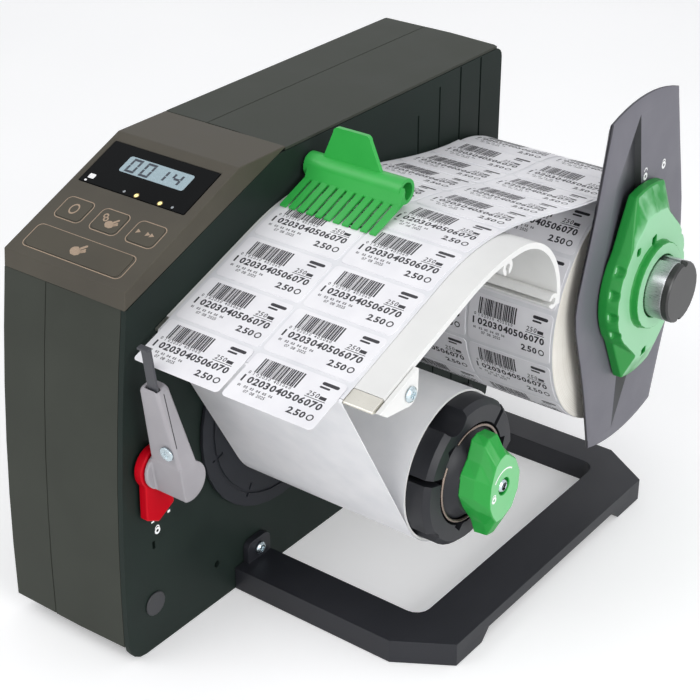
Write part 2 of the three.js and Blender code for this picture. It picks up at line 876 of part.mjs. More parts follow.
function controlPanel() {
  const lipZ = panelFaceHeight + panelSlope * panelLipY;
  const kinkY = (housingHeight - panelFaceHeight) / panelSlope;
  const rearLow = panelFoot(panelDepth);
  const skin = outline([
    [frontLean, panelFootHeight],
    [panelDepth, rearLow],
    [panelDepth, housingHeight],
    [kinkY, housingHeight],
    [panelLipY + lipRound * 2, lipZ + panelSlope * lipRound * 2],
    [panelLipY + lipRound, lipZ + panelSlope * lipRound - lipRound * lipFallShare],
    [panelLipY, lipZ - lipRound],
  ].map(([y, z]) => onFace(y, z)));
  const solid = alongX(skin, -housingWidth, 0);
  const hollow = outline([
    onFace(frontLean + panelWall, panelFootHeight - overrun),
    onFace(panelHollowEnd, panelFoot(panelHollowEnd) - overrun),
    onFace(panelHollowEnd, panelFoot(panelHollowEnd) + fit),
    [onFace(kinkY, housingHeight)[0] - panelWall, -panelWall],
    [panelWall, -panelWall],
  ]);
  const inside = alongX(hollow, -housingWidth + panelWall, -panelWall);
  const sink = windowSink + windowThickness + fit;
  const windowSeat = block(-windowLeft - fit, -windowRight + fit, windowStart - fit, windowEnd + fit,
    -sink, overrun);
  const windowOpening = block(-windowLeft + windowLedge, -windowRight - windowLedge,
    windowStart + windowLedge, windowEnd - windowLedge, -panelWall - overrun, 0);
  const keyHoles = keys.map(({ x0, x1, s0, s1 }) => faceKey(x0 - fit, x1 + fit, s0 - fit, s1 + fit,
    -panelWall - overrun, overrun, keyCorner + fit));
  return cut(solid, inside, windowSeat, windowOpening, ...keyHoles);
}

function displayBoard() {
  const top = -displayBoardDepth;
  const x0 = -housingWidth + displayBoardMargin + panelWall;
  const x1 = -displayBoardMargin - panelWall;
  const board = block(x0, x1, displayBoardStart, displayBoardEnd, top - boardThickness, top);
  const display = block(-lcdLeft, -lcdRight, lcdStart, lcdEnd, top - boardThickness / 2,
    -windowSink - windowThickness - lcdGlassGap);
  const lamps = lampShares.map((share) => post(lampRadius,
    -windowLeft + (windowLeft - windowRight) * share, windowStart + lampInset,
    top - boardThickness / 2, top + lampRise));
  const inset = 2 * boardPostRadius;
  const postRows = [(wideKeyStart + wideKeyHeight + keyStart) / 2, (windowStart + keyStart + keyHeight) / 2];
  const posts = postRows.flatMap((s) => [x0 + inset, x1 - inset].map((x) => post(boardPostRadius, x, s,
    top - boardThickness / 2, -panelWall - fit)));
  return joined(board, display, ...lamps, ...posts);
}

function panelKey({ x0, x1, s0, s1 }) {
  const cap = faceKey(x0, x1, s0, s1, -keyThickness + fit, fit, keyCorner);
  const foot = -displayBoardDepth + keyTravel + fit;
  const stem = post(keyStemRadius, (x0 + x1) / 2, (s0 + s1) / 2, foot, -keyThickness / 2);
  return joined(cap, stem);
}

function controls() {
  piece(panelFrame, 'control_panel', controlPanel(), brownShell);
  const pane = block(-windowLeft, -windowRight, windowStart, windowEnd,
    -windowSink - windowThickness, -windowSink);
  piece(panelFrame, 'display_window', pane, glossBlack);
  piece(panelFrame, 'display_board', displayBoard(), boardGreen);
  keys.forEach((key, i) => piece(panelFrame, keyNames[i], panelKey(key), keyBrown));
}

// Electrical pieces on the base

function electrics() {
  const x0 = -housingWidth + coverWall + 2 * fit;
  const seat = shellLift + baseThickness + standoffHeight + fit;
  const centreX = x0 + standoffRadius;
  const board = block(centreX, centreX + mainBoardWidth, boardStartY, boardStartY + mainBoardLength,
    seat, seat + boardThickness);
  const inBoard = seat + boardThickness / 2;
  const chips = chipShares.map(([u, v, w]) => {
    const x = centreX + mainBoardWidth * u;
    const y = boardStartY + mainBoardLength * v;
    const half = mainBoardWidth * w / 2;
    return block(x - half, x + half, y - half, y + half, inBoard, seat + boardThickness + chipHeight);
  });
  const capacitors = capacitorShares.map(([u, v]) => post(capacitorRadius, centreX + mainBoardWidth * u,
    boardStartY + mainBoardLength * v, inBoard, seat + boardThickness + capacitorHeight, pinFacets));
  piece(machine, 'main_board', joined(board, ...chips, ...capacitors), boardGreen);

  const low = shellLift + baseThickness + fit;
  const high = low + supplyHeight;
  const body = block(centreX, centreX + supplyWidth, supplyStartY, supplyStartY + supplyLength, low, high);
  const slots = Array.from({ length: ventCount }, (unused, i) => {
    const y = supplyStartY + supplyLength * (i + 1) / (ventCount + 1);
    return block(centreX + ventInset, centreX + supplyWidth - ventInset, y - ventWidth / 2, y + ventWidth / 2,
      high - ventDepth, high + overrun);
  });
  piece(machine, 'power_supply', cut(body, ...slots), steel);
}

// Rewinder: drive, bearings and the expanding mandrel, all on one axis

const rewinder = group(machine, rewinderY, rewinderHeight);

function bearing(x0) {
  const x1 = x0 + bearingWidth;
  const inner = axleRadius + fit;
  const outer = bearingOuter;
  const step = (outer - inner) / bearingRings;
  const dish = bearingWidth * bearingDishShare;
  return turned([
    [x0, inner], [x0, outer], [x1, outer], [x1, outer - step], [x1 - dish, outer - step],
    [x1 - dish, inner + step], [x1, inner + step], [x1, inner], [x0, inner],
  ]);
}

function pulley(radius, bore) {
  const x0 = pulleyStart;
  const x1 = x0 + pulleyWidth;
  const rim = radius + pulleyFlangeRise;
  return turned([
    [x0, bore], [x0, rim], [x0 + pulleyFlange, rim], [x0 + pulleyFlange, radius],
    [x1 - pulleyFlange, radius], [x1 - pulleyFlange, rim], [x1, rim], [x1, bore], [x0, bore],
  ]);
}

function beltLoop(inset) {
  const dy = rewinderY - motorY;
  const dz = rewinderHeight - motorHeight;
  const span = Math.hypot(dy, dz);
  const heading = Math.atan2(dz, dy);
  const turn = Math.acos((rewindPulleyRadius - motorPulleyRadius) / span);
  const large = rewindPulleyRadius + inset;
  const small = motorPulleyRadius + inset;
  return outline([
    ...arcPoints(0, 0, large, heading - Math.PI + turn, heading + Math.PI - turn, beltSteps),
    ...arcPoints(-dy, -dz, small, heading + Math.PI - turn, heading + Math.PI + turn, beltSteps / 2),
  ]);
}

function driveBelt() {
  const x0 = pulleyStart + pulleyFlange + fit;
  const x1 = pulleyStart + pulleyWidth - pulleyFlange - fit;
  const inside = alongX(beltLoop(fit), x0 - overrun, x1 + overrun);
  return cut(alongX(beltLoop(fit + beltThickness), x0, x1), inside);
}

function motor() {
  const half = motorSize / 2;
  const face = -plateThickness - fit;
  const back = face - motorLength;
  const body = alongX(roundedRectangle(-half, half, -half, half, motorCorner), back, face);
  const boss = rod(motorBossRadius, back - motorBossHeight, back + overrun);
  const shaft = rod(motorShaftRadius, pulleyStart, back);
  return joined(body, boss, shaft);
}

function bearingHousing() {
  const face = -plateThickness - fit;
  const end = face - bearingHousingLength;
  const bore = bearingOuter + fit;
  const lip = bore - bearingStop;
  const middle = [face - bearingWidth - 2 * fit, end + bearingWidth + 2 * fit];
  return turned([
    [end, bore], [end, housingTubeRadius], [face - housingFlangeThickness, housingTubeRadius],
    [face - housingFlangeThickness, housingFlangeRadius], [face, housingFlangeRadius], [face, bore],
    [middle[0], bore], [middle[0], lip], [middle[1], lip], [middle[1], bore], [end, bore],
  ]);
}

function innerDisc() {
  const x1 = discStart + discThickness;
  const floor = x1 - discGrooveDepth;
  const groove = [discGrooveRadius - discGrooveWidth, discGrooveRadius];
  const plain = turned([
    [discStart, axleRadius + fit], [discStart, discRadius], [x1, discRadius], [x1, groove[1]],
    [floor, groove[1]], [floor, groove[0]], [x1, groove[0]], [x1, axleRadius + fit],
    [discStart, axleRadius + fit],
  ], 0, 0, discFacets);
  const nicks = Array.from({ length: discSlotCount }, (unused, i) => {
    const angle = Math.PI * 2 * (i + discSlotPhaseShare) / discSlotCount;
    const half = discGrooveWidth / 2;
    const radii = [groove[0] - discSlotLength / 2, groove[1] + discSlotLength / 4];
    const corners = [[radii[0], -half], [radii[1], -half], [radii[1], half], [radii[0], half]];
    return alongX(turnedOutline(corners, angle), floor, x1 + overrun);
  });
  return cut(plain, ...nicks);
}

// Corners [radial, sideways] turned to a direction round the X axis
function turnedOutline(corners, angle) {
  return outline(corners.map(([r, t]) => [r * Math.cos(angle) - t * Math.sin(angle),
    r * Math.sin(angle) + t * Math.cos(angle)]));
}

const segmentAngles = [0, 1, 2].map((i) => firstSplitAngle + Math.PI * (2 * i + 1) / 3);
const coreStart = discStart + discThickness + fit;
const coreEnd = mandrelEnd - mandrelMouthDepth - 2 * fit;

function guide(angle, x0, x1, clear) {
  const low = guideOffset - guideWidth / 2 - clear;
  const high = guideOffset + guideWidth / 2 + clear;
  const reach = guideReach + (clear > 0 ? segmentTravel + clear : 0);
  const corners = [[guideFoot, low], [reach, low], [reach, high], [guideFoot, high]];
  return alongX(turnedOutline(corners, angle), x0, x1);
}

function mandrelCore() {
  const barrel = tube(coreRadius, axleRadius + fit, coreStart, coreEnd);
  const middle = (coreStart + coreEnd) / 2;
  const half = guideLength / 2;
  const ribs = segmentAngles.map((angle) => guide(angle, middle - half, middle + half, 0));
  return joined(barrel, ...ribs);
}

function mandrelSegment(angle, flute) {
  const ring = turned([
    [coreStart, mandrelBore], [coreStart, mandrelRadius], [mandrelEnd - mandrelChamfer, mandrelRadius],
    [mandrelEnd, mandrelRadius - mandrelChamfer], [mandrelEnd, mandrelMouthRadius],
    [mandrelEnd - mandrelMouthDepth, mandrelMouthRadius], [mandrelEnd - mandrelMouthDepth, mandrelBore],
    [coreStart, mandrelBore],
  ], 0, 0, mandrelFacets);
  const far = mandrelRadius * 2;
  const third = Math.PI / 3;
  const sector = alongX(outline([[0, 0], ...arcPoints(0, 0, far, angle - third, angle + third, 4)]),
    coreStart - overrun, mandrelEnd + overrun);
  const half = mandrelSplit / 2;
  const splits = [angle - third, angle + third].map((edge) => alongX(
    turnedOutline([[0, -half], [far, -half], [far, half], [0, half]], edge),
    coreStart - overrun, mandrelEnd + overrun));
  const slot = guide(angle, coreStart - overrun, mandrelEnd + overrun, fit);
  return cut(ring.intersect(sector), ...splits, slot, flute);
}

function longFlute(radius, angle) {
  const centre = mandrelRadius + fluteOffset;
  return rod(radius, coreStart - overrun, mandrelEnd + overrun,
    centre * Math.cos(angle), centre * Math.sin(angle));
}

class RingArc extends THREE.Curve {
  constructor(radius, x, start, sweep) {
    super();
    Object.assign(this, { radius, x, start, sweep });
  }

  getPoint(t, target = new THREE.Vector3()) {
    const angle = this.start + this.sweep * t;
    return target.set(this.x, this.radius * Math.cos(angle), this.radius * Math.sin(angle));
  }
}

function springClip() {
  const radius = mandrelMouthRadius - clipGap - clipWire;
  const path = new RingArc(radius, mandrelEnd - clipDepth, clipStartAngle, Math.PI * 2 - clipOpening);
  const section = outline(arcPoints(0, 0, clipWire, 0, Math.PI * 2, clipSides).slice(1));
  const settings = { steps: clipSteps, bevelEnabled: false, extrudePath: path };
  return solidOf(new THREE.ExtrudeGeometry(section, settings));
}

function rewindAxle() {
  const bore = knobScrewShank + fit;
  const end = coreEnd;
  const depth = end - knobScrewLength / 2;
  const inner = pulleyStart - axleOverhang;
  return turned([
    [inner, 0], [inner, axleRadius - edgeBreak], [inner + edgeBreak, axleRadius], [end, axleRadius],
    [end, bore], [depth, bore], [depth, 0],
  ]);
}

function rewindKnob() {
  const sized = (shares, width, height) => shares.map(([u, v]) => [u * width, v * height]);
  const grip = loftX([
    { x: knobBase, points: sized(knobSkirtShares, knobBaseHalfWidth, knobBaseHalfHeight) },
    { x: knobWaist, points: sized(knobSkirtShares, knobWaistHalfWidth, knobWaistHalfHeight) },
    { x: knobFace, points: sized(knobFaceShares, knobFaceHalfWidth, knobFaceHalfHeight) },
  ]);
  const stem = rod(knobStem, coreEnd + fit, knobBase + knobStemOverlap);
  const recess = rod(knobRecessRadius, knobFace - knobRecessDepth, knobFace + overrun);
  const bore = rod(knobScrewShank + fit, 0, knobFace + overrun);
  return cut(joined(grip, stem), recess, bore);
}

function knobScrew() {
  const seat = knobFace - knobRecessDepth + fit;
  const end = coreEnd - knobScrewLength / 2 + 2 * fit;
  return screw(end, seat, knobScrewShank, knobScrewRadius, knobScrewHeight);
}

// A screw along X with its head outwards and a cross recess in the head
function screw(end, seat, shank, head, height) {
  const body = turned([
    [end, 0], [end, shank], [seat, shank], [seat, head], [seat + height / 2, head],
    [seat + height, head * screwCrownShare], [seat + height, 0],
  ], 0, 0, pinFacets);
  const width = head * crossWidthShare;
  const length = head * crossLengthShare;
  const deep = seat + height / 2;
  const slots = [block(deep, seat + height + overrun, -length, length, -width, width),
    block(deep, seat + height + overrun, -width, width, -length, length)];
  return cut(body, ...slots);
}

function rewinding() {
  piece(rewinder, 'bearing_housing', bearingHousing(), bareAluminium);
  const face = -plateThickness - fit;
  piece(rewinder, 'outer_bearing', bearing(face - fit - bearingWidth), steel);
  piece(rewinder, 'inner_bearing', bearing(face - bearingHousingLength + fit), steel);
  piece(rewinder, 'rewind_axle', rewindAxle(), steel);
  piece(rewinder, 'rewind_pulley', pulley(rewindPulleyRadius, axleRadius + fit), blackPlastic);
  piece(rewinder, 'drive_belt', driveBelt(), rubber);
  const motorFrame = group(machine, motorY, motorHeight);
  piece(motorFrame, 'rewind_motor', motor(), blackPlastic);
  piece(motorFrame, 'motor_pulley', pulley(motorPulleyRadius, motorShaftRadius + fit), bareAluminium);
  piece(rewinder, 'inner_disc', innerDisc(), blackPlastic);
  piece(rewinder, 'mandrel_core', mandrelCore(), blackPlastic);
  const [upper, front, rear] = segmentAngles;
  const flutes = [
    longFlute(scoopRadius, scoopAngle),
    longFlute(nickRadius, nickAngle),
    longFlute(scoopRadius, rear + scoopAngle - upper),
  ];
  piece(rewinder, 'upper_segment', mandrelSegment(upper, flutes[0]), blackPlastic);
  piece(rewinder, 'front_segment', mandrelSegment(front, flutes[1]), blackPlastic);
  piece(rewinder, 'rear_segment', mandrelSegment(rear, flutes[2]), blackPlastic);
  piece(rewinder, 'spring_clip', springClip(), steel);
  piece(rewinder, 'rewind_knob', rewindKnob(), green);
  piece(rewinder, 'knob_screw', knobScrew(), zinc);
  const winding = tube(takeUpRadius, mandrelRadius + fit, coreStart, mediaEnd, 0, 0, discFacets);
  piece(rewinder, 'take_up_roll', winding, linerWhite);
}

// Platform, drawn in the side view: a ramp, a flat crown and an arch of one wall

const noseHeight = rampAt(peelNoseY);

// A place in the ramp's own frame: along it from the peel nose, and out of it
function onRamp(s, n) {
  return [peelNoseY + s * Math.cos(rampAngle) - n * Math.sin(rampAngle),
    noseHeight + s * Math.sin(rampAngle) + n * Math.cos(rampAngle)];
}

function platformLine(inset) {
  const y0 = rampStart + inset * Math.sin(rampAngle);
  const z0 = rampAt(rampStart) - inset * Math.cos(rampAngle);
  const up = Math.PI / 2;
  const crown = arcPoints(crownY, crownCentre, crownRadius - inset, up + rampAngle, up, crownSteps);
  const arch = arcPoints(crownY, crownTop - archRadius, archRadius - inset, up, archEndAngle, archSteps);
  return [[y0, z0], ...crown, ...arch.slice(1)];
}

// Screw ports under the wall, each open to one side
const portDrop = platformWall + portRadius - portSink;
const ports = [
  { y: frontPortY, z: frontPortHeight, mouth: -Math.PI / 2 },
  { y: crownY - portCrownOffset, z: crownTop - portDrop, mouth: -Math.PI / 2 },
  {
    y: crownY + (archRadius - portDrop) * Math.cos(portArchAngle),
    z: crownTop - archRadius + (archRadius - portDrop) * Math.sin(portArchAngle),
    mouth: Math.PI,
  },
];

function platform() {
  const shape = outline([...platformLine(0), ...platformLine(platformWall).reverse()]);
  const wall = alongX(shape, fit, platformEnd);
  const [front] = ports;
  const neck = block(fit, platformEnd, front.y - portRadius / 2, front.y + portRadius / 2,
    front.z, rampAt(front.y) - platformWall / 2);
  const tubes = ports.map(({ y, z }) => rod(portRadius, fit, platformEnd, y, z, pinFacets));
  const bores = ports.flatMap(({ y, z, mouth }) => {
    const half = portMouth / 2;
    const span = [fit - overrun, platformEnd + overrun];
    const corners = [[0, -half], [portRadius + overrun, -half], [portRadius + overrun, half], [0, half]];
    const slot = alongX(turnedOutline(corners, mouth), ...span).translate([0, y, z]);
    return [rod(portBore, ...span, y, z, postFacets), slot];
  });
  return cut(joined(wall, neck, ...tubes), ...bores);
}

function peelBar() {
  const start = (rampStart - peelNoseY) / Math.cos(rampAngle) - fit;
  const half = peelNoseThickness / 2;
  const under = -platformWall - fit;
  const back = start + peelBarDepth / 2;
  return alongX(outline([
    [start, 0], ...arcPoints(half, -half, half, Math.PI / 2, Math.PI * 1.5, cornerSteps),
    [start / 2, -peelBarThickness], [back, -peelBarThickness], [back, under], [start, under],
  ].map(([s, n]) => onRamp(s, n))), fit, platformEnd);
}

function endLug() {
  const [front] = ports;
  const x0 = platformEnd + fit;
  const top = -platformWall / 2;
  const drop = lugScrewRadius + lugCorner / 2;
  const away = (frontPortY - peelNoseY) / Math.cos(rampAngle);
  const shape = outline([
    onRamp(peelNoseThickness, top),
    onRamp(lugCorner, -peelBarThickness - lugCorner / 2),
    ...arcPoints(front.y, front.z, drop, lugArcStart, lugArcEnd, lugArcSteps),
    onRamp(away + drop, top),
  ]);
  const x1 = x0 + lugThickness;
  const hole = rod(lugScrewShank + fit, x0 - overrun, x1 + overrun, front.y, front.z, pinFacets);
  return cut(alongX(shape, x0, x1), hole);
}

function platformPieces() {
  piece(machine, 'platform', platform(), whiteAluminium);
  piece(machine, 'peel_bar', peelBar(), bareAluminium);
  piece(machine, 'end_lug', endLug(), whiteAluminium);
  const seat = platformEnd + lugThickness + 2 * fit;
  const [front, , rear] = ports;
  const lugFrame = group(machine, front.y, front.z);
  const lugScrew = screw(seat - lugScrewLength, seat, lugScrewShank, lugScrewRadius, lugScrewHeight);
  piece(lugFrame, 'lug_screw', lugScrew, zinc);
  const inner = group(machine, rear.y, rear.z);
  const head = -plateThickness - fit;
  const back = turned([
    [head - lugScrewHeight, 0], [head - lugScrewHeight, lugScrewRadius], [head, lugScrewRadius],
    [head, lugScrewShank], [head + lugScrewLength, lugScrewShank], [head + lugScrewLength, 0],
  ], 0, 0, pinFacets);
  piece(inner, 'platform_screw', back, zinc);
}

// Carrier web: over the platform, then in a slack curve to the supply roll

const rollHeight = shaftHeight + shaftRadius + fit - coreInner;

const stripStart = peelNoseThickness / 2 + fit;

class SlackWeb extends THREE.Curve {
  getPoint(t, target = new THREE.Vector3()) {
    const drop = webLeaveY - crownY;
    const start = [webLeaveY, crownCentre + Math.sqrt((crownRadius + fit) ** 2 - drop ** 2)];
    const end = [shaftY, rollHeight + rollRadius + fit];
    const places = [start, [webPullY, start[1] - webPullRise], [webSagY, end[1] + webSagRise], end];
    const u = 1 - t;
    const weights = [u ** 3, 3 * u * u * t, 3 * u * t * t, t ** 3];
    const blend = (k) => weights.reduce((sum, weight, i) => sum + weight * places[i][k], 0);
    return target.set(0, blend(0), blend(1));
  }
}

function webLine() {
  const crown = arcPoints(crownY, crownCentre, crownRadius + fit, Math.PI / 2 + rampAngle,
    Math.PI / 2 - Math.asin((webLeaveY - crownY) / crownRadius), crownWebSteps);
  const slack = new SlackWeb().getPoints(slackWebSteps).slice(1).map((point) => [point.y, point.z]);
  return [onRamp(stripStart, fit), ...crown, ...slack];
}

function offsetLine(points, distance) {
  return points.map(([y, z], i) => {
    const before = points[Math.max(i - 1, 0)];
    const after = points[Math.min(i + 1, points.length - 1)];
    const dy = after[0] - before[0];
    const dz = after[1] - before[1];
    const length = Math.hypot(dy, dz);
    return [y - distance * dz / length, z + distance * dy / length];
  });
}

function band(points, low, high, x0, x1) {
  return alongX(outline([...offsetLine(points, low), ...offsetLine(points, high).reverse()]), x0, x1);
}

// Y of the point a given way along the web
function webY(points, away) {
  let left = away;
  for (let i = 0; i + 1 < points.length; i += 1) {
    const [a, b] = [points[i], points[i + 1]];
    const step = Math.hypot(b[0] - a[0], b[1] - a[1]);
    if (left <= step) return a[0] + (b[0] - a[0]) * left / step;
    left -= step;
  }
  return points[points.length - 1][0];
}

function labelColumns() {
  const margin = (mediaEnd - mediaStart - 2 * labelWidth - labelColumnGap) / 2;
  const first = mediaStart + margin;
  const second = first + labelWidth + labelColumnGap;
  return [[first, first + labelWidth], [second, second + labelWidth]];
}

function labelStrip() {
  const line = webLine();
  const web = band(line, 0, webThickness, mediaStart, mediaEnd);
  const raised = band(line, webThickness / 2, webThickness + labelThickness, mediaStart, mediaEnd);
  const firstEnd = labelLength - labelOverhang;
  const low = rampHeight;
  const high = crownTop * 2;
  const plates = Array.from({ length: labelRows }, (unused, i) => {
    const start = firstEnd + labelPitch - labelLength + i * labelPitch - stripStart;
    return [webY(line, start), webY(line, start + labelLength)];
  }).filter(([y0, y1]) => y1 - y0 > labelLength / 2);
  const prisms = plates.flatMap(([y0, y1]) => labelColumns().map(([x0, x1]) => alongZ(
    roundedRectangle(x0, x1, y0, y1, labelCorner), low, high)));
  return joined(web, raised.intersect(joined(...prisms)));
}

// Labels of the first row stand out straight past the peel nose
function frontLabels() {
  const first = new THREE.Group();
  first.position.set(0, peelNoseY, noseHeight);
  first.rotation.x = rampAngle;
  machine.add(first);
  const low = 2 * fit + webThickness;
  const names = ['front_label_left', 'front_label_right'];
  labelColumns().forEach(([x0, x1], i) => {
    const shape = roundedRectangle(x0, x1, -labelOverhang, labelLength - labelOverhang, labelCorner);
    piece(first, names[i], alongZ(shape, low, low + labelThickness, cornerSteps), paperWhite);
  });
}

// Bare carrier: round the peel nose, down to the winding and a stretch round it
function linerWeb() {
  const half = peelNoseThickness / 2;
  const [noseY, noseZ] = onRamp(half, -half);
  const inner = half + fit;
  const outerWinding = takeUpRadius + fit;
  const dy = rewinderY - noseY;
  const dz = rewinderHeight - noseZ;
  const span = Math.hypot(dy, dz);
  const heading = Math.atan2(dz, dy);
  const turn = Math.asin((outerWinding - inner) / span);
  const away = heading + Math.PI * 1.5 - turn;
  const top = Math.PI / 2 + rampAngle;
  const line = [
    ...arcPoints(noseY, noseZ, inner, top, away, linerNoseSteps),
    ...arcPoints(rewinderY, rewinderHeight, outerWinding, away, away + linerWrapAngle, linerWrapSteps),
  ];
  return band(line, -webThickness, 0, mediaStart, mediaEnd);
}

function media() {
  piece(machine, 'label_strip', labelStrip(), paperWhite);
  frontLabels();
  piece(machine, 'liner_web', linerWeb(), linerWhite);
  const roll = group(machine, shaftY, rollHeight);
  const coreOuter = coreInner + coreWall;
  const wound = tube(rollRadius, coreOuter + fit, mediaStart, mediaEnd, 0, 0, rollFacets);
  piece(roll, 'supply_roll', wound, paperWhite);
  piece(roll, 'supply_core', tube(coreOuter, coreInner, mediaStart, mediaEnd), cardboard);
}

// Unwinder: shaft, margin stop and its lock ring

const unwinder = group(machine, shaftY, shaftHeight);

function unwindShaft() {
  const solid = turned([
    [fit, shaftRadius - shaftWall], [fit, shaftFlangeRadius], [fit + shaftFlangeThickness, shaftFlangeRadius],
    [fit + shaftFlangeThickness, shaftRadius], [shaftEnd, shaftRadius], [shaftEnd, shaftRadius - shaftWall],
    [fit, shaftRadius - shaftWall],
  ], 0, 0, ringFacets);
  const half = keywayWidth / 2;
  const keyway = block(mediaStart + shaftFlangeThickness, shaftEnd + overrun, -half, half,
    shaftRadius - keywayDepth, shaftRadius + overrun);
  return cut(solid, keyway);
}

function shaftCap() {
  const start = shaftEnd + fit;
  const end = shaftEnd + capThickness;
  const plug = shaftRadius - shaftWall - fit;
  const body = turned([
    [shaftEnd - capPlug, 0], [shaftEnd - capPlug, plug], [start, plug], [start, shaftRadius],
    [end - edgeBreak, shaftRadius], [end, shaftRadius - edgeBreak], [end, 0],
  ], 0, 0, tubeFacets);
  const notches = [capNotchAngle, capNotchAngle + Math.PI].map((angle) => rod(capNotchRadius, start - fit / 2,
    end + overrun, shaftRadius * Math.cos(angle), shaftRadius * Math.sin(angle), pinFacets));
  return cut(body, ...notches);
}

function stopOutline(inset) {
  const tip = stopTipRadius - inset;
  const half = stopHalfWidth - inset;
  const corner = Math.acos(stopTipHalfWidth / stopTipRadius);
  const right = stopSideShares.map(([u, v]) => [u * half, v * tip]);
  const left = right.map(([y, z]) => [-y, z]).reverse();
  const upper = [...right, ...arcPoints(0, 0, tip, corner, Math.PI - corner, stopTipSteps), ...left];
  const lower = upper.slice(1, -1).map(([y, z]) => [-y, -z]);
  return outline([...upper, ...lower]);
}

function marginStop() {
  const face = stopStart + stopThickness;
  const blade = alongX(stopOutline(0), stopStart, face);
  const hub = tube(stopHubRadius, shaftRadius + fit, stopStart, stopStart + stopHubDepth, 0, 0, tubeFacets);
  const bore = rod(shaftRadius + fit, stopStart - overrun, face + overrun, 0, 0, tubeFacets);
  const recesses = [1, -1].map((side) => alongX(outline([
    [side * stopRecessNear, side * stopHubRadius],
    [side * stopRecessNear, side * stopRecessKnee],
    [-side * stopRecessTip, side * stopRecessLength],
    [-side * stopRecessFar, side * stopHubRadius],
  ]), face - stopRecessDepth, face + overrun));
  return joined(cut(blade, bore, ...recesses), hub);
}

function ringOutline(wing, disc) {
  const upper = [
    ...arcPoints(0, 0, disc, -ringShoulderAngle, ringShoulderAngle, ringShoulderSteps),
    ...arcPoints(0, 0, wing, Math.PI / 2 - ringWingHalfAngle, Math.PI / 2 + ringWingHalfAngle, cornerSteps),
  ];
  return [...upper, ...upper.map(([y, z]) => [-y, -z])];
}

function lockRing() {
  const hubRoom = stopStart + stopHubDepth + fit;
  const body = loftX([
    { x: ringStart, points: ringOutline(ringWingRadius, ringDiscRadius) },
    { x: ringStart + ringRimDepth, points: ringOutline(ringWingRadius, ringDiscRadius) },
    { x: ringFace, points: ringOutline(ringFaceWingRadius, ringFaceDiscRadius) },
  ]);
  const hubFace = ringFace + ringHubRise;
  const collar = rod(ringHubRadius, ringFace - ringHubRise, hubFace, 0, 0, tubeFacets);
  const room = rod(stopHubRadius + fit, ringStart - overrun, hubRoom, 0, 0, tubeFacets);
  const bore = rod(shaftRadius + 2 * fit, ringStart - overrun, hubFace + overrun, 0, 0, tubeFacets);
  const scallops = [0, 1].flatMap((side) => Array.from({ length: scallopCount }, (unused, i) => {
    const angle = side * Math.PI + scallopStartAngle + scallopSpan * i / (scallopCount - 1);
    const centre = ringDiscRadius + scallopRadius * scallopSinkShare;
    return rod(scallopRadius, ringFace - scallopDepth, ringFace + overrun, centre * Math.cos(angle),
      centre * Math.sin(angle), pinFacets);
  }));
  const holeRadius = (ringHubRadius + ringDiscRadius) / 2;
  const holes = ringHoleAngles.map((angle) => {
    const y = holeRadius * Math.cos(angle);
    const z = holeRadius * Math.sin(angle);
    const half = ringHole / 2;
    return block(ringFace - ringHoleDepth, ringFace + overrun, y - half, y + half, z - half, z + half);
  });
  return cut(joined(body, collar), room, bore, ...scallops, ...holes);
}

function unwinding() {
  piece(unwinder, 'unwind_shaft', unwindShaft(), bareAluminium);
  piece(unwinder, 'shaft_cap', shaftCap(), blackPlastic);
  piece(unwinder, 'margin_stop', marginStop(), midGrey);
  piece(unwinder, 'lock_ring', lockRing(), green);
}

// Comb: a tube on a fixed rod, with tines that hold the web down

function comb() {
  const frame = group(machine, combY, combHeight);
  const rodEnd = combStart + combRodLength;
  const end = combStart + combLength;
  const shell = tube(tubeRadius, tubeBore, combStart, end, 0, 0, tubeFacets);
  const tipZ = webTopAt(combY - tineReach) + fit - combHeight;
  const tipY = -tineReach;
  const rootY = -tineRootReach;
  const steep = Math.atan2(tineRootHeight, rootY - tipY);
  const blade = outline([
    [tipY, tipZ],
    [-tubeRadius * Math.sin(steep) * bladeFrontShares[0], -tubeRadius * bladeFrontShares[1]],
    [-tubeBore - fit, tubeRadius * bladeTopShare],
    [rootY, tipZ + tineRootHeight],
    [tipY, tipZ + tineTipThickness],
  ]);
  const plate = alongX(blade, tineStart, tineEnd);
  const slotPitch = (tineEnd - tineStart + slotWidth) / tineCount;
  const slots = Array.from({ length: tineCount - 1 }, (unused, i) => {
    const x1 = tineStart + (i + 1) * slotPitch;
    return block(x1 - slotWidth, x1, tipY - overrun, rootY, tipZ - overrun, tipZ + tineRootHeight + overrun);
  });
  const half = tabThickness / 2;
  const tabFoot = tubeRadius * tabFootShare;
  const shoulder = tabBaseHalf - tabCorner;
  const rounding = tabTopHalf - tabCorner;
  const rounded = tabHeight - tabCorner;
  const tab = alongY(outline([
    [tabCentre - tabBaseHalf, tabFoot],
    [tabCentre + tabBaseHalf, tabFoot],
    [tabCentre + shoulder, tubeRadius + tabCorner],
    ...arcPoints(tabCentre + rounding, rounded, tabCorner, 0, Math.PI / 2, cornerSteps),
    ...arcPoints(tabCentre - rounding, rounded, tabCorner, Math.PI / 2, Math.PI, cornerSteps),
    [tabCentre - shoulder, tubeRadius + tabCorner],
  ]), -half, half);
  const bore = rod(tubeBore, combStart - overrun, tineEnd + overrun, 0, 0, tubeFacets);
  piece(frame, 'comb', cut(joined(shell, cut(plate, ...slots), tab), bore), green);
  const head = -plateThickness - fit;
  const holder = turned([
    [head - boltHeadThickness, 0], [head - boltHeadThickness, boltHeadRadius], [head, boltHeadRadius],
    [head, combRodRadius], [rodEnd - edgeBreak, combRodRadius], [rodEnd, combRodRadius - edgeBreak],
    [rodEnd, 0],
  ]);
  piece(frame, 'comb_rod', holder, steel);
}

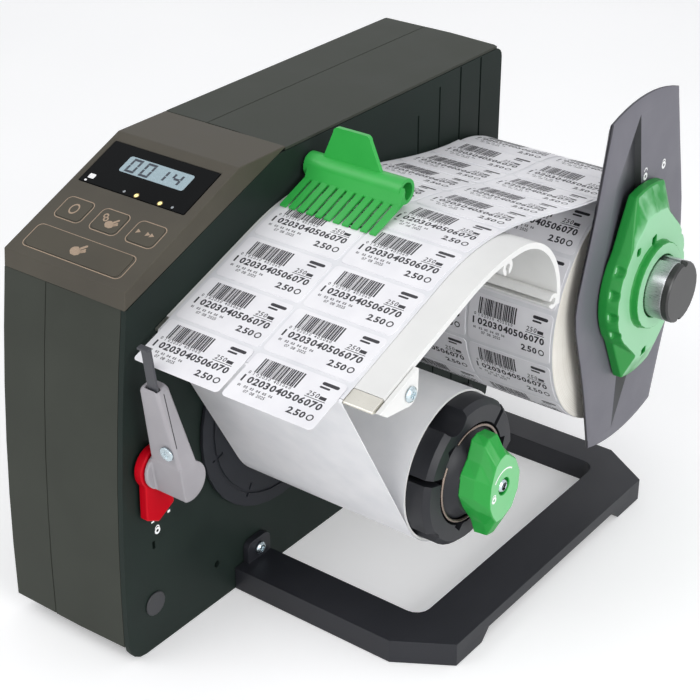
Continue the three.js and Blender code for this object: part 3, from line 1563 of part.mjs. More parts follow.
// Height of the labels' upper face at a place on the crown
function webTopAt(y) {
  const radius = crownRadius + fit + webThickness + labelThickness;
  return crownCentre + Math.sqrt(radius ** 2 - (y - crownY) ** 2);
}

// Sensor arm in two shells, with the feeler in a slot in its top and the lock lever behind it

function arm() {
  const frame = group(machine, pivotY, pivotHeight);
  frame.rotation.x = armLean;
  const hub = rod(armHubRadius, armStart, armHubEnd, 0, 0, tubeFacets);
  const blade = armBlade();
  const bore = rod(pivotBoltRadius + fit, armStart - overrun, armBoreEnd);
  const whole = cut(joined(hub, blade), bore);
  const far = armLength * 2;
  const frontHalf = block(armStart - overrun, armHubEnd + overrun, -far, -fit / 2, -far, far);
  const rearHalf = block(armStart - overrun, armHubEnd + overrun, fit / 2, far, -far, far);
  const slotX = (armTopStart + armTopEnd) / 2;
  const slotBack = -armSlotBack;
  const slot = block(slotX - armSlotWidth / 2, slotX + armSlotWidth / 2, slotBack - armSlotDepth, slotBack,
    armLength - armSlotLength, armLength + overrun);
  const face = -armDepthAt(armScrewUp) / 2;
  const screwX = armMiddleAt(armScrewUp);
  const screwHole = alongFace(armScrewShank + fit, screwX, face - overrun, face + armScrewDepth + fit);
  piece(frame, 'arm_front_shell', cut(whole.intersect(frontHalf), slot, screwHole), paleGrey);
  piece(frame, 'arm_rear_shell', cut(whole.intersect(rearHalf), screwHole), paleGrey);
  const shank = alongFace(armScrewShank, screwX, face - fit, face + armScrewDepth);
  const head = alongFace(armScrewRadius, screwX, face - fit - armScrewHeight, face - fit);
  const crossWidth = armScrewRadius * crossWidthShare;
  const crossLength = armScrewRadius * crossLengthShare;
  const deep = face - fit - armScrewHeight / 2;
  const crossSizes = [[crossLength, crossWidth], [crossWidth, crossLength]];
  const crosses = crossSizes.map(([u, v]) => block(screwX - u, screwX + u, deep - overrun, deep,
    armScrewUp - v, armScrewUp + v));
  piece(frame, 'arm_screw', cut(joined(shank, head), ...crosses), zinc);

  const feelerY = slotBack - armSlotDepth / 2;
  const pinUp = armLength - armSlotLength + fit + feelerPinRadius;
  const left = slotX - feelerWidth / 2;
  const right = slotX + feelerWidth / 2;
  const halfThick = feelerThickness / 2;
  const tip = armLength + feelerRise;
  const strip = block(left, right, feelerY - halfThick, feelerY + halfThick, pinUp, tip);
  const hook = block(left, right, feelerY - feelerHook, feelerY, tip - feelerThickness, tip);
  const knuckle = rod(feelerPinRadius, left - 2 * fit, right + 2 * fit, feelerY, pinUp, pinFacets);
  piece(frame, 'feeler', joined(strip, hook, knuckle), blackPlastic);

  const upright = group(machine, pivotY, pivotHeight);
  const corner = [leverCornerReach * Math.cos(leverHalfAngle), leverCornerReach * Math.sin(leverHalfAngle)];
  const fan = turnedOutline([
    [0, -leverRadius],
    [corner[0], -corner[1]],
    [leverReach, 0],
    corner,
    [0, leverRadius],
  ], -Math.PI / 2 - leverLean);
  const lever = cut(joined(rod(leverRadius, leverStart, leverStart + leverThickness, 0, 0, ringFacets),
    alongX(fan, leverStart, leverStart + leverThickness)),
  rod(pivotBoltRadius + fit, leverStart - overrun, armStart));
  piece(upright, 'red_lever', lever, red);
  const inner = -plateThickness - fit;
  const bolt = turned([
    [inner - boltHeadThickness, 0], [inner - boltHeadThickness, boltHeadRadius], [inner, boltHeadRadius],
    [inner, pivotBoltRadius], [armBoreEnd - fit, pivotBoltRadius], [armBoreEnd - fit, 0],
  ]);
  piece(upright, 'arm_pivot', bolt, steel);
}

const armDepthAt = (up) => armFootDepth + (armTopDepth - armFootDepth) * up / armLength;
const armMiddleAt = (up) => {
  const foot = (armStart + armHubEnd) / 2;
  return foot + ((armTopStart + armTopEnd) / 2 - foot) * up / armLength;
};

// The arm's blade narrows upwards, more on its outer side
function armBlade() {
  const ring = (level, x0, x1) => {
    const half = armDepthAt(level) / 2;
    return { level, points: [[x0, -half], [x1, -half], [x1, half], [x0, half]] };
  };
  return solidOf(loft([
    ring(0, armStart, armHubEnd),
    ring(armWaistUp, armStart, armHubEnd),
    ring(armLength, armTopStart, armTopEnd),
  ]));
}

// A round pin square to the arm's front face
function alongFace(radius, x, y0, y1) {
  const geometry = new THREE.CylinderGeometry(radius, radius, y1 - y0, pinFacets);
  geometry.translate(x, (y0 + y1) / 2, armScrewUp);
  return solidOf(geometry);
}

// Foot frame: a flat U that reaches out under the rolls

function footFrame() {
  const inner = [frameStartY + frontLegWidth, frameEndY - rearLegWidth];
  const barStart = frameReach - barWidth;
  const r = frameInnerRadius;
  const shape = outline([
    [fit, frameStartY], [frameReach - frameChamferX, frameStartY], [frameReach, frameStartY + frameChamferY],
    [frameReach, frameEndY - frameChamferY], [frameReach - frameChamferX, frameEndY], [fit, frameEndY],
    [fit, inner[1]],
    ...arcPoints(barStart - r, inner[1] - r, r, Math.PI / 2, 0, cornerSteps),
    ...arcPoints(barStart - r, inner[0] + r, r, 0, -Math.PI / 2, cornerSteps),
    [fit, inner[0]],
  ]);
  const body = alongZ(shape, 0, frameHeight);
  const low = [frameStartY + archInset, frameEndY - archInset];
  const lift = alongX(outline([
    [low[0], -overrun], [low[0], 0], [low[0] + archLift, archLift],
    [low[1] - archLift, archLift], [low[1], 0], [low[1], -overrun],
  ]), barStart - overrun, frameReach + overrun);
  const ears = [frameEar(earCentreY, earLength / 2), frameEar(frameEndY - rearLegWidth / 2, rearEarHalf)];
  const hole = rod(frameScrewShank + fit, fit - overrun, fit + earThickness + overrun,
    earCentreY, frameScrewHeight, pinFacets);
  return cut(joined(cut(body, lift), ...ears), hole);
}

const rearEarHalf = Math.min(earLength, rearLegWidth) / 2;

// An upright ear on a leg, against the side plate
function frameEar(y, half) {
  const corner = Math.min(earCorner, half);
  const level = frameHeight + earHeight - corner;
  return alongX(outline([
    [y - half, frameHeight / 2], [y + half, frameHeight / 2],
    ...arcPoints(y + half - corner, level, corner, 0, Math.PI / 2, cornerSteps),
    ...arcPoints(y - half + corner, level, corner, Math.PI / 2, Math.PI, cornerSteps),
  ]), fit, fit + earThickness);
}

function feet() {
  piece(machine, 'foot_frame', footFrame(), framePaint);
  const frame = group(machine, earCentreY, frameScrewHeight);
  const seat = 2 * fit + earThickness;
  piece(frame, 'frame_screw', screw(seat - frameScrewLength, seat, frameScrewShank, frameScrewHead,
    frameScrewHeadHeight), zinc);
}

housing();
controls();
electrics();
rewinding();
platformPieces();
media();
unwinding();
comb();
arm();
feet();

export default machine;
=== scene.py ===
import math
import random

import bmesh
import bpy
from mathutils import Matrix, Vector


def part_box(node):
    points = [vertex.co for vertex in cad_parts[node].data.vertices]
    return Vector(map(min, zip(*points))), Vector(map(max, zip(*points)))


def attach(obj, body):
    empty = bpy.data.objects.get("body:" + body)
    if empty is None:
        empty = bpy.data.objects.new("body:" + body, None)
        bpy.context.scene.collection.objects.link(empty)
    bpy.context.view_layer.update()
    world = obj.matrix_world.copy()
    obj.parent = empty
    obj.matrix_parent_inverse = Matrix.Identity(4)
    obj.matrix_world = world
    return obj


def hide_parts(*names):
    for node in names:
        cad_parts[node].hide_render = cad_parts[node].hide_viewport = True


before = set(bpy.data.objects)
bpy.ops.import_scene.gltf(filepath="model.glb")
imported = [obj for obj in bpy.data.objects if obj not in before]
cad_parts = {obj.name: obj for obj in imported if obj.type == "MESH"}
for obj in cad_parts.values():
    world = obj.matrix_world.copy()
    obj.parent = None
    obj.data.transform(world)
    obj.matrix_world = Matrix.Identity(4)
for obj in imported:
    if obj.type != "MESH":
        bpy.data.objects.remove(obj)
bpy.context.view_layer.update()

# Millimetres from the machine's own corner: X out from the side plate, Y back from the front, Z up
MM = 0.001
FIT = 0.3
MERGE = 1e-6
EDGE = 0.3
CORNER = Vector((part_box("side_plate")[1][0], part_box("left_cover")[0][1], 0))


def at(x, y, z):
    return CORNER + Vector((x, y, z)) * MM


# Driving sizes that the looks share with the solids
HOUSING_WIDTH = 88
HOUSING_TOP = 264.8
PANEL_SLOPE = 0.417
PANEL_ANGLE = math.atan(PANEL_SLOPE)
PANEL_BASE = 220
PANEL_LIP_Y = 17
PANEL_LIP_Z = PANEL_BASE + PANEL_SLOPE * PANEL_LIP_Y
PANEL_FOOT = (16.4, 217.2)
PANEL_REAR = 146
PANEL_FOOT_SLOPE = 0.362
PANEL_WALL = 3
PANEL_HOLLOW_END = 122
WINDOW = (-84.2, -7.4, 58.3, 91.2)
WINDOW_SINK = 0.6
WINDOW_THICKNESS = 1.4
WINDOW_LEDGE = 1.6
LCD = (-66.3, -19.8, 72.2, 84.3)
LAMPS = (-51.5, -42.6, -25.7, -16.9)
LAMP_S = 60.2
KEYS = {
    "key_right": (-26, -8.2, 31, 45.8),
    "key_middle": (-52, -34.2, 31, 45.8),
    "key_left": (-78, -60.2, 31, 45.8),
    "wide_key": (-79.3, -11.4, 7, 23),
}
KEY_CORNER = 3

RAMP_SLOPE = 0.362
RAMP_ANGLE = math.atan(RAMP_SLOPE)
RAMP_HEIGHT = 185.8
RAMP_BEND_Y = 118
CROWN_RADIUS = 137
CROWN = (RAMP_BEND_Y + CROWN_RADIUS * math.sin(RAMP_ANGLE),
         RAMP_HEIGHT + RAMP_SLOPE * RAMP_BEND_Y - CROWN_RADIUS * math.cos(RAMP_ANGLE))
NOSE_Y = 36.4
NOSE = (NOSE_Y, RAMP_HEIGHT + RAMP_SLOPE * NOSE_Y)
NOSE_THICKNESS = 1.8
WEB_LEAVE_Y = 172

MEDIA = (3.2, 122.5)
WEB_THICKNESS = 0.35
LABEL_THICKNESS = 0.3
LABEL_WIDTH = 56.6
LABEL_LENGTH = 31.6
LABEL_PITCH = 34.2
LABEL_CORNER = 2.4
LABEL_OVERHANG = 22.5
LABEL_COLUMNS = (5.05, 63.85)
ROLL_AXIS = (312, 139.8)
ROLL_RADIUS = 75.5
CORE_RADIUS = 40.7
REWINDER = (133, 113.3)
MANDREL_RADIUS = 42
WINDING_RADIUS = 43.5
SLICE = 1.6
TAKE_UP_X = 3.1
WIRE_X = 135.3
WIRE_RADIUS = 27.5
KNOB_BACK = 141
KNOB_SHOULDER = 149
KNOB_FACE = 157
SHAFT = (312, 158.5)
SLEEVE_RADIUS = 19.3
HUB_RADIUS = 24
HUB_END = 142
STOP_BACK = 126
STOP_FACE = 131
PIVOT = (25.2, 122.5)
ARM_LEAN = 0.148
LEVER_RADIUS = 12.8


# Materials

# The part of a noise's range in which tone and gloss change
SPREAD = (0.3, 0.7)


def colour(code):
    def linear(value):
        return value / 12.92 if value <= 0.04045 else ((value + 0.055) / 1.055) ** 2.4

    parts = [int(code[i:i + 2], 16) / 255 for i in (0, 2, 4)]
    return (*[linear(part) for part in parts], 1)


class Finish:
    """One material's node tree, read in the object's own metres."""

    def __init__(self, name, roughness, **inputs):
        self.material = bpy.data.materials.new(name)
        self.material.use_nodes = True
        self.nodes = self.material.node_tree.nodes
        self.links = self.material.node_tree.links
        self.shader = self.nodes["Principled BSDF"]
        self.feed(self.shader, Roughness=roughness, **inputs)
        self.place = self.node("ShaderNodeTexCoord").outputs["Object"]

    def node(self, kind, **settings):
        made = self.nodes.new(kind)
        for key, value in settings.items():
            setattr(made, key, value)
        return made

    def put(self, value, socket):
        if isinstance(value, bpy.types.NodeSocket):
            self.links.new(value, socket)
        else:
            socket.default_value = value

    def feed(self, made, **values):
        for key, value in values.items():
            self.put(value, made.inputs[key.replace("_", " ")])
        return made

    def noise(self, size, detail=2.0, stretch=(1, 1, 1)):
        scale = [part / (size * MM) for part in stretch]
        place = self.feed(self.node("ShaderNodeMapping"), Vector=self.place, Scale=scale).outputs["Vector"]
        return self.feed(self.node("ShaderNodeTexNoise"), Vector=place, Scale=1.0, Detail=detail).outputs["Fac"]

    def maths(self, operation, first, second=0.0):
        made = self.node("ShaderNodeMath", operation=operation)
        for socket, value in zip(made.inputs, (first, second)):
            self.put(value, socket)
        return made.outputs[0]

    def part(self, vector, axis):
        return self.feed(self.node("ShaderNodeSeparateXYZ"), Vector=vector).outputs[axis]

    def tones(self, factor, first, second, spread=SPREAD):
        ramp = self.feed(self.node("ShaderNodeValToRGB"), Fac=factor)
        for element, position, tone in zip(ramp.color_ramp.elements, spread, (first, second)):
            element.position = position
            element.color = colour(tone) if isinstance(tone, str) else tone
        self.feed(self.shader, Base_Color=ramp.outputs["Color"])

    def gloss(self, factor, first, second):
        made = self.node("ShaderNodeMapRange")
        self.feed(made, Value=factor, From_Min=SPREAD[0], From_Max=SPREAD[1], To_Min=first, To_Max=second)
        self.feed(self.shader, Roughness=made.outputs["Result"])

    def bump(self, height, depth, strength, **under):
        made = self.node("ShaderNodeBump")
        self.feed(made, Height=height, Distance=depth * MM, Strength=strength, **under)
        self.feed(self.shader, Normal=made.outputs["Normal"])
        return made.outputs["Normal"]


def moulded(name, light, dark, roughness, grain=0.3, depth=0.012, specular=0.5):
    """Moulded plastic: a fine grain, a slow change of tone and of gloss."""
    made = Finish(name, roughness, Specular_IOR_Level=specular)
    slow = made.noise(38, 3)
    made.tones(slow, dark, light)
    made.gloss(slow, roughness - 0.05, roughness + 0.06)
    made.bump(made.noise(grain, 1), depth, 0.6)
    return made.material


def polished(name, light, dark, roughness, brush=(1, 14, 14), mark=4, depth=0.006):
    """Metal with fine marks drawn along one axis."""
    made = Finish(name, roughness, Metallic=1.0)
    marks = made.noise(mark, 4, brush)
    made.tones(made.noise(22), dark, light)
    made.gloss(marks, roughness - 0.08, roughness + 0.1)
    made.bump(marks, depth, 0.5)
    return made.material


def papery(name, light, dark, roughness, fibre=0.25, depth=0.012, cockle=None):
    """Paper: fibres, a faint tone, and a slow cockle (size, depth, stretch) where it hangs free."""
    made = Finish(name, roughness)
    fibres = made.noise(fibre, 3)
    made.tones(made.noise(17), dark, light)
    made.gloss(fibres, roughness - 0.04, roughness + 0.05)
    under = {}
    if cockle:
        size, height, stretch = cockle
        under = {"Normal": made.bump(made.noise(size, 1, stretch), height, 0.7)}
    made.bump(fibres, depth, 0.5, **under)
    return made.material


def wound(name, axis, light, dark, turn=0.42):
    """The face of a winding: the edges of its turns show as fine rings."""
    made = Finish(name, 0.6)
    centre = at(0, *axis)
    away = [made.maths("POWER", made.maths("SUBTRACT", made.part(made.place, part), middle), 2.0)
            for part, middle in (("Y", centre.y), ("Z", centre.z))]
    radius = made.maths("SQRT", made.maths("ADD", *away))
    rings = made.node("ShaderNodeTexNoise", noise_dimensions="1D")
    edges = made.feed(rings, W=radius, Scale=1 / (turn * MM), Detail=3.0).outputs["Fac"]
    tone = made.maths("ADD", made.maths("MULTIPLY", edges, 0.75), made.maths("MULTIPLY", made.noise(26), 0.25))
    made.tones(tone, dark, light, (0.35, 0.62))
    made.bump(edges, 0.09, 0.8)
    return made.material


def painted_face_light(name, shaded_flank, face, roughness):
    """Moulded plastic with a fine grain all over; faces turned to +X get the paler colour as a painted highlight, and
    the flanks the darker one as painted shade.
    """
    made = Finish(name, roughness)
    slow = made.noise(20, 3)
    # Painted light: the normal's X gives faces turned to +X the paler painted highlight and all other faces the
    # darker painted shade.
    facing_light = made.part(made.node("ShaderNodeNewGeometry").outputs["Normal"], "X")
    tone = made.maths("ADD", facing_light, made.maths("MULTIPLY", slow, 0.12))
    made.tones(tone, shaded_flank, face, (0.96, 1))
    made.gloss(slow, roughness - 0.05, roughness + 0.06)
    made.bump(made.noise(0.4), 0.03, 0.8)
    return made.material


def painted_groove_shade(name, light, dark, span):
    """Moulded plastic with painted shade: it darkens toward the deep edge of a groove beside the shaft, where shade
    falls.
    """
    made = Finish(name, 0.42)
    # Painted shade: darker the nearer a point lies in Y to the shaft's line, the groove's deep edge.
    aside = made.maths("ABSOLUTE", made.maths("SUBTRACT", made.part(made.place, "Y"), at(0, SHAFT[0], 0).y))
    tone = made.maths("ADD", made.maths("DIVIDE", aside, span * MM), made.maths("MULTIPLY", made.noise(20, 3), 0.15))
    made.tones(tone, dark, light, (0.1, 0.95))
    made.bump(made.noise(0.3, 1), 0.02, 0.6)
    return made.material


def plain_ink(name, code, roughness, gloss=0.0):
    """Printed ink: nearly even, a little thinner here and there."""
    made = Finish(name, roughness, Coat_Weight=gloss)
    thin = (*[min(part * 1.25 + 0.01, 1) for part in colour(code)[:3]], 1)
    made.tones(made.noise(0.6), code, thin, (0.45, 0.75))
    return made.material


def lit_lamp(name):
    made = Finish(name, 0.25, Emission_Strength=0.55, Emission_Color=colour("f7e68a"))
    made.tones(made.noise(0.8, 1), "f4e07c", "fff6c4")
    return made.material


shell_dark = moulded("shell_dark", "3d403a", "363933", 0.56, 0.32, 0.03, 0.15)
plate_dark = moulded("plate_dark", "202a26", "1b2421", 0.54, 0.3, 0.022, 0.14)
panel_brown = moulded("panel_brown", "504c43", "48443c", 0.52, 0.3, 0.024, 0.2)
key_brown = moulded("key_brown", "4e4a40", "48443b", 0.48, 0.3, 0.015, 0.2)
black_plastic = moulded("black_plastic", "2e2f33", "27282b", 0.42, 0.28, 0.018)
mandrel_black = moulded("mandrel_black", "27282c", "212226", 0.42, 0.28, 0.02, 0.28)
disc_black = moulded("disc_black", "27292e", "222429", 0.5, 0.28, 0.02, 0.2)
cap_black = moulded("cap_black", "303030", "262626", 0.34)
frame_black = moulded("frame_black", "26272c", "202126", 0.46, 0.42, 0.05, 0.35)
rubber_black = moulded("rubber_black", "1e1e1f", "171718", 0.82, 0.5, 0.05)
# Painted light: the margin stop's grey paints a highlight on faces turned to +X and shade on its flanks.
stop_grey = painted_face_light("stop_grey", "2a2930", "64636c", 0.42)
arm_grey = moulded("arm_grey", "a3a0a4", "969397", 0.44, 0.3, 0.015)
green_plastic = moulded("green_plastic", "35b24c", "2ea545", 0.34)
# Painted light: the lock ring's and the knob grip's greens paint a highlight on faces turned to +X and shade on their
# flanks.
green_ring_painted_light = painted_face_light("green_ring_painted_light", "128a32", "95cfa3", 0.42)
green_grip_painted_light = painted_face_light("green_grip_painted_light", "0f9834", "72c281", 0.38)
# Painted shade: this grey darkens toward the deep edge of the margin stop's grooves.
stop_groove_painted_shade = painted_groove_shade("stop_groove_painted_shade", "5c5b64", "1c201f", 34)
feeler_grey = moulded("feeler_grey", "3f4045", "37383d", 0.4, 0.3, 0.015)
red_plastic = moulded("red_plastic", "c5041b", "b50317", 0.36, specular=0.12)
board_green = moulded("board_green", "24663f", "1d5434", 0.45, 0.5, 0.02)
window_black = moulded("window_black", "07090a", "050607", 0.2, 0.5, 0.002, 0.07)
aluminium = polished("aluminium", "c6c7c9", "b2b4b6", 0.3)
steel = polished("steel", "bfc1c4", "a8abae", 0.26)
wire_steel = polished("wire_steel", "9b8c82", "84766d", 0.3, (6, 6, 6))
zinc = polished("zinc", "cfdbe0", "b6c4ca", 0.24, (5, 5, 5), 5.6)
white_coat = moulded("white_coat", "e9e9e7", "e0e0de", 0.38, 0.5, 0.01)
bare_edge = polished("bare_edge", "dcd9cf", "c9c6bc", 0.34)
label_white = papery("label_white", "f2f1f4", "e9e8ec", 0.46, cockle=(24, 0.25, (1, 0.35, 0.35)))
liner_pale = papery("liner_pale", "f0f0f2", "e6e7ea", 0.34, 0.3, 0.008, cockle=(30, 0.5, (0.4, 1, 1)))
web_pale = papery("web_pale", "e9e9ec", "dedfe3", 0.38, 0.3, 0.008, cockle=(24, 0.25, (1, 0.35, 0.35)))
roll_side = wound("roll_side", ROLL_AXIS, "f4f1ea", "d9d4c8")
winding_side = wound("winding_side", REWINDER, "eeeeec", "d2d2d0", 0.3)
cardboard = papery("cardboard", "b09470", "99805f", 0.8, 0.8, 0.03)
ink_black = plain_ink("ink_black", "26242a", 0.5)
ink_beige = plain_ink("ink_beige", "9d8873", 0.5)
ink_white = plain_ink("ink_white", "f1f1f1", 0.45)
lcd_pale = plain_ink("lcd_pale", "94a9b1", 0.25, 0.2)
lcd_digit = plain_ink("lcd_digit", "1c2735", 0.3, 0.2)
lamp_grey = plain_ink("lamp_grey", "8b9195", 0.2, 0.6)
lamp_amber = plain_ink("lamp_amber", "6d5410", 0.3, 0.4)
lamp_yellow = lit_lamp("lamp_yellow")


# Meshes

def helper(name, data):
    piece = bpy.data.objects.new(name, data)
    bpy.context.scene.collection.objects.link(piece)
    return piece


def shown(name, mesh, material, body, replaces=()):
    """A piece that rides on a body and may stand for solids of the frame."""
    piece = helper(name, mesh)
    if not mesh.materials:
        mesh.materials.append(material)
    for polygon in mesh.polygons:
        polygon.use_smooth = True
    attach(piece, body)
    if replaces:
        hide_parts(*replaces)
    return piece


def modify(piece, kind, **settings):
    made = piece.modifiers.new(kind.lower(), kind)
    for key, value in settings.items():
        setattr(made, key, value)


def bevel_edges(piece, width, segments, angle, **normals):
    modify(piece, "BEVEL", width=width * MM, segments=segments, limit_method="ANGLE",
           angle_limit=math.radians(angle), harden_normals=True)
    modify(piece, "WEIGHTED_NORMAL", **normals)


def round_edges(piece, width=EDGE, segments=3, angle=32):
    """Bevels the sharp edges and leaves the facets of round faces smooth."""
    modify(piece, "WELD", merge_threshold=MERGE)
    modify(piece, "DECIMATE", decimate_type="DISSOLVE", angle_limit=math.radians(0.4))
    bevel_edges(piece, width, segments, angle, keep_sharp=True, weight=80)


def split_edges(piece, angle=50):
    modify(piece, "EDGE_SPLIT", split_angle=math.radians(angle))


def dress(node, material, width=EDGE, segments=2, angle=32):
    """Gives a solid of the frame its material and its soft edges."""
    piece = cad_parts[node]
    piece.data.materials.clear()
    piece.data.materials.append(material)
    for polygon in piece.data.polygons:
        polygon.use_smooth = True
    round_edges(piece, width, segments, angle)


def evaluated(piece, name):
    """The piece's mesh with its modifiers applied."""
    graph = bpy.context.evaluated_depsgraph_get()
    mesh = bpy.data.meshes.new_from_object(piece.evaluated_get(graph))
    mesh.name = name
    return mesh


def forget(*pieces):
    for piece in pieces:
        mesh = piece.data
        bpy.data.objects.remove(piece)
        if isinstance(mesh, bpy.types.Mesh):
            bpy.data.meshes.remove(mesh)


def cut_away(piece, cutters):
    for cutter in cutters:
        modify(piece, "BOOLEAN", operation="DIFFERENCE", solver="EXACT", object=cutter)


def soften(solids, name, material, body, nodes, voxel, cuts, faces=30000):
    """A moulded form with soft edges: overlapping solids made one, then cut and smoothed."""
    whole = bmesh.new()
    for solid in solids:
        whole.from_mesh(solid)
    bmesh.ops.remove_doubles(whole, verts=whole.verts, dist=MERGE)
    mesh = bpy.data.meshes.new(name + "_rough")
    whole.to_mesh(mesh)
    whole.free()
    rough = helper(name + "_rough", mesh)
    cutters = [helper(name + "_cut", cut) for cut in cuts]
    modify(rough, "REMESH", mode="VOXEL", voxel_size=voxel * MM)
    cut_away(rough, cutters)
    modify(rough, "REMESH", mode="VOXEL", voxel_size=voxel * MM)
    modify(rough, "SMOOTH", factor=0.5, iterations=3)
    made = evaluated(rough, name)
    forget(rough, *cutters)
    triangles = len(made.polygons) * 2
    if triangles > faces:
        dense = helper(name + "_dense", made)
        modify(dense, "DECIMATE", ratio=faces / triangles)
        made = evaluated(dense, name)
        forget(dense)
    made.materials.clear()
    shown(name, made, material, body, nodes)


def mesh_of(name, points, faces):
    mesh = bpy.data.meshes.new(name)
    mesh.from_pydata([tuple(point) for point in points], [], faces)
    mesh.validate()
    solid = bmesh.new()
    solid.from_mesh(mesh)
    bmesh.ops.recalc_face_normals(solid, faces=solid.faces)
    solid.to_mesh(mesh)
    solid.free()
    return mesh


def loft(name, rings):
    """A solid through rings of as many points each, closed at both ends."""
    count = len(rings[0])
    points = [point for ring in rings for point in ring]
    last = (len(rings) - 1) * count
    faces = [tuple(range(count)), tuple(range(last, last + count))]
    for k in range(len(rings) - 1):
        a, b = k * count, (k + 1) * count
        faces += [(a + i, a + (i + 1) % count, b + (i + 1) % count, b + i) for i in range(count)]
    return mesh_of(name, points, faces)


def prism(name, points, x0, x1):
    """An outline in (Y, Z) drawn along X."""
    return loft(name, [[at(x, y, z) for y, z in points] for x in (x0, x1)])


def polar(centre, radius, angle):
    """A point in (Y, Z) by its angle from the Y axis."""
    return centre[0] + radius * math.cos(angle), centre[1] + radius * math.sin(angle)


def slanted(start, angle, along, up):
    """A point in (Y, Z) by the way along a slanted line and the height above it."""
    return (start[0] + along * math.cos(angle) - up * math.sin(angle),
            start[1] + along * math.sin(angle) + up * math.cos(angle))


def spaced(first, last, steps):
    return [first + (last - first) * i / steps for i in range(steps + 1)]


def straight(start, end, steps):
    return list(zip(spaced(start[0], end[0], steps), spaced(start[1], end[1], steps)))


def arc_points(centre, radius, start, end, steps):
    """Points of an arc in (Y, Z), its angles in degrees."""
    return [polar(centre, radius, math.radians(angle)) for angle in spaced(start, end, steps)]


def circle(u, v, radius, steps=20):
    return arc_points((u, v), radius, 0, 360, steps)[:-1]


def rounded(u0, u1, v0, v1, corner, steps=6):
    """A rectangle with round corners."""
    centres = ((u1 - corner, v0 + corner, -90), (u1 - corner, v1 - corner, 0),
               (u0 + corner, v1 - corner, 90), (u0 + corner, v0 + corner, 180))
    return [point for u, v, start in centres for point in arc_points((u, v), corner, start, start + 90, steps)]


def grown(box, by, corner):
    u0, u1, v0, v1 = box
    return rounded(u0 - by, u1 + by, v0 - by, v1 + by, corner)


def rings_round(axis, levels):
    """Outlines given about an axis along X, each at its own X."""
    return [[at(x, axis[0] + y, axis[1] + z) for y, z in line] for x, line in levels]


def lathe(name, profile, axis, steps):
    """A closed profile of (x, radius) points turned about the X axis through (y, z)."""
    count = len(profile)
    points = [at(x, *polar(axis, radius, 2 * math.pi * k / steps)) for k in range(steps) for x, radius in profile]
    faces = []
    for k in range(steps):
        n = (k + 1) % steps
        for i in range(count):
            j = (i + 1) % count
            faces.append((k * count + i, k * count + j, n * count + j, n * count + i))
    return mesh_of(name, points, faces)


def tube(x0, x1, inner, outer):
    return [(x0, inner), (x0, outer), (x1, outer), (x1, inner)]


class Sheet:
    """Flat shapes in (u, v) that can be laid on any surface."""

    def __init__(self, *shapes):
        self.mesh = bmesh.new()
        for points in shapes:
            self.shape(points)

    def corners(self, points):
        return [self.mesh.verts.new((*point, 0)) for point in points]

    def shape(self, points):
        self.mesh.faces.new(self.corners(points))

    def ring(self, outer, inner):
        first, second = self.corners(outer), self.corners(inner)
        for i in range(len(outer)):
            self.mesh.faces.new((first[i - 1], first[i], second[i], second[i - 1]))

    def arc(self, centre, radius, width, start, end, steps):
        sides = [arc_points(centre, radius + side, start, end, steps) for side in (-width / 2, width / 2)]
        rows = [self.corners(pair) for pair in zip(*sides)]
        for (a, b), (c, d) in zip(rows, rows[1:]):
            self.mesh.faces.new((a, b, d, c))

    def bar(self, u0, u1, v0, v1):
        self.shape([(u0, v0), (u1, v0), (u1, v1), (u0, v1)])

    def glyphs(self, text, u, v, height, spacing=0.62, slant=0.0, weight=1.0, cut="plain"):
        """Plain digits, from their left foot, with a set height."""
        for letter in text:
            if letter != " ":
                points, faces = GLYPHS[cut][letter]
                made = self.corners((u + (x * weight + y * slant) * height, v + y * height) for x, y in points)
                for face in faces:
                    self.mesh.faces.new([made[i] for i in face])
            u += spacing * height

    def data(self):
        self.mesh.verts.index_update()
        points = [(vert.co.x, vert.co.y) for vert in self.mesh.verts]
        return points, [[vert.index for vert in face.verts] for face in self.mesh.faces]

    def sliced(self):
        """A label's shapes cut across v in steps, so that they follow a curved surface."""
        level = SLICE
        while level < LABEL_LENGTH:
            everything = self.mesh.verts[:] + self.mesh.edges[:] + self.mesh.faces[:]
            bmesh.ops.bisect_plane(self.mesh, geom=everything, plane_co=(0, level, 0), plane_no=(0, 1, 0))
            level += SLICE
        return self.data()


def digit_glyphs(swell):
    """Outlines of the ten plain digits, one unit high and a little swollen."""
    found = {}
    for letter in "0123456789":
        curve = bpy.data.curves.new("digit", "FONT")
        curve.body = letter
        curve.resolution_u = 2
        curve.offset = swell
        text = helper("digit", curve)
        mesh = evaluated(text, "digit")
        points = [(vert.co.x, vert.co.y) for vert in mesh.vertices]
        low = min(y for x, y in points)
        tall = max(y for x, y in points) - low
        left = min(x for x, y in points)
        points = [((x - left) / tall, (y - low) / tall) for x, y in points]
        found[letter] = (points, [list(face.vertices) for face in mesh.polygons])
        forget(text)
        bpy.data.curves.remove(curve)
        bpy.data.meshes.remove(mesh)
    return found


GLYPHS = {"plain": digit_glyphs(0.012), "bold": digit_glyphs(0.034)}


def laid(name, sheet, places, surface, material, body, lift, thickness=0.0, replaces=()):
    """Copies of flat shapes laid on a surface, which gives the point for (u, v, lift)."""
    flat, tiles = sheet
    count = len(flat)
    sides = dict.fromkeys((a, b) for tile in tiles for a, b in zip(tile, tile[1:] + tile[:1]))
    points, faces = [], []
    for along, across in places:
        start = len(points)
        points += [surface(u + along, v + across, lift) for u, v in flat]
        faces += [[start + i for i in tile] for tile in tiles]
        if thickness:
            low = start + count
            points += [surface(u + along, v + across, lift - thickness) for u, v in flat]
            faces += [[low + i for i in reversed(tile)] for tile in tiles]
            faces += [[start + b, start + a, low + a, low + b] for a, b in sides if (b, a) not in sides]
    mesh = bpy.data.meshes.new(name)
    mesh.from_pydata([tuple(point) for point in points], [], faces)
    mesh.validate()
    piece = shown(name, mesh, material, body, replaces)
    if thickness:
        split_edges(piece)


INK = 0.03


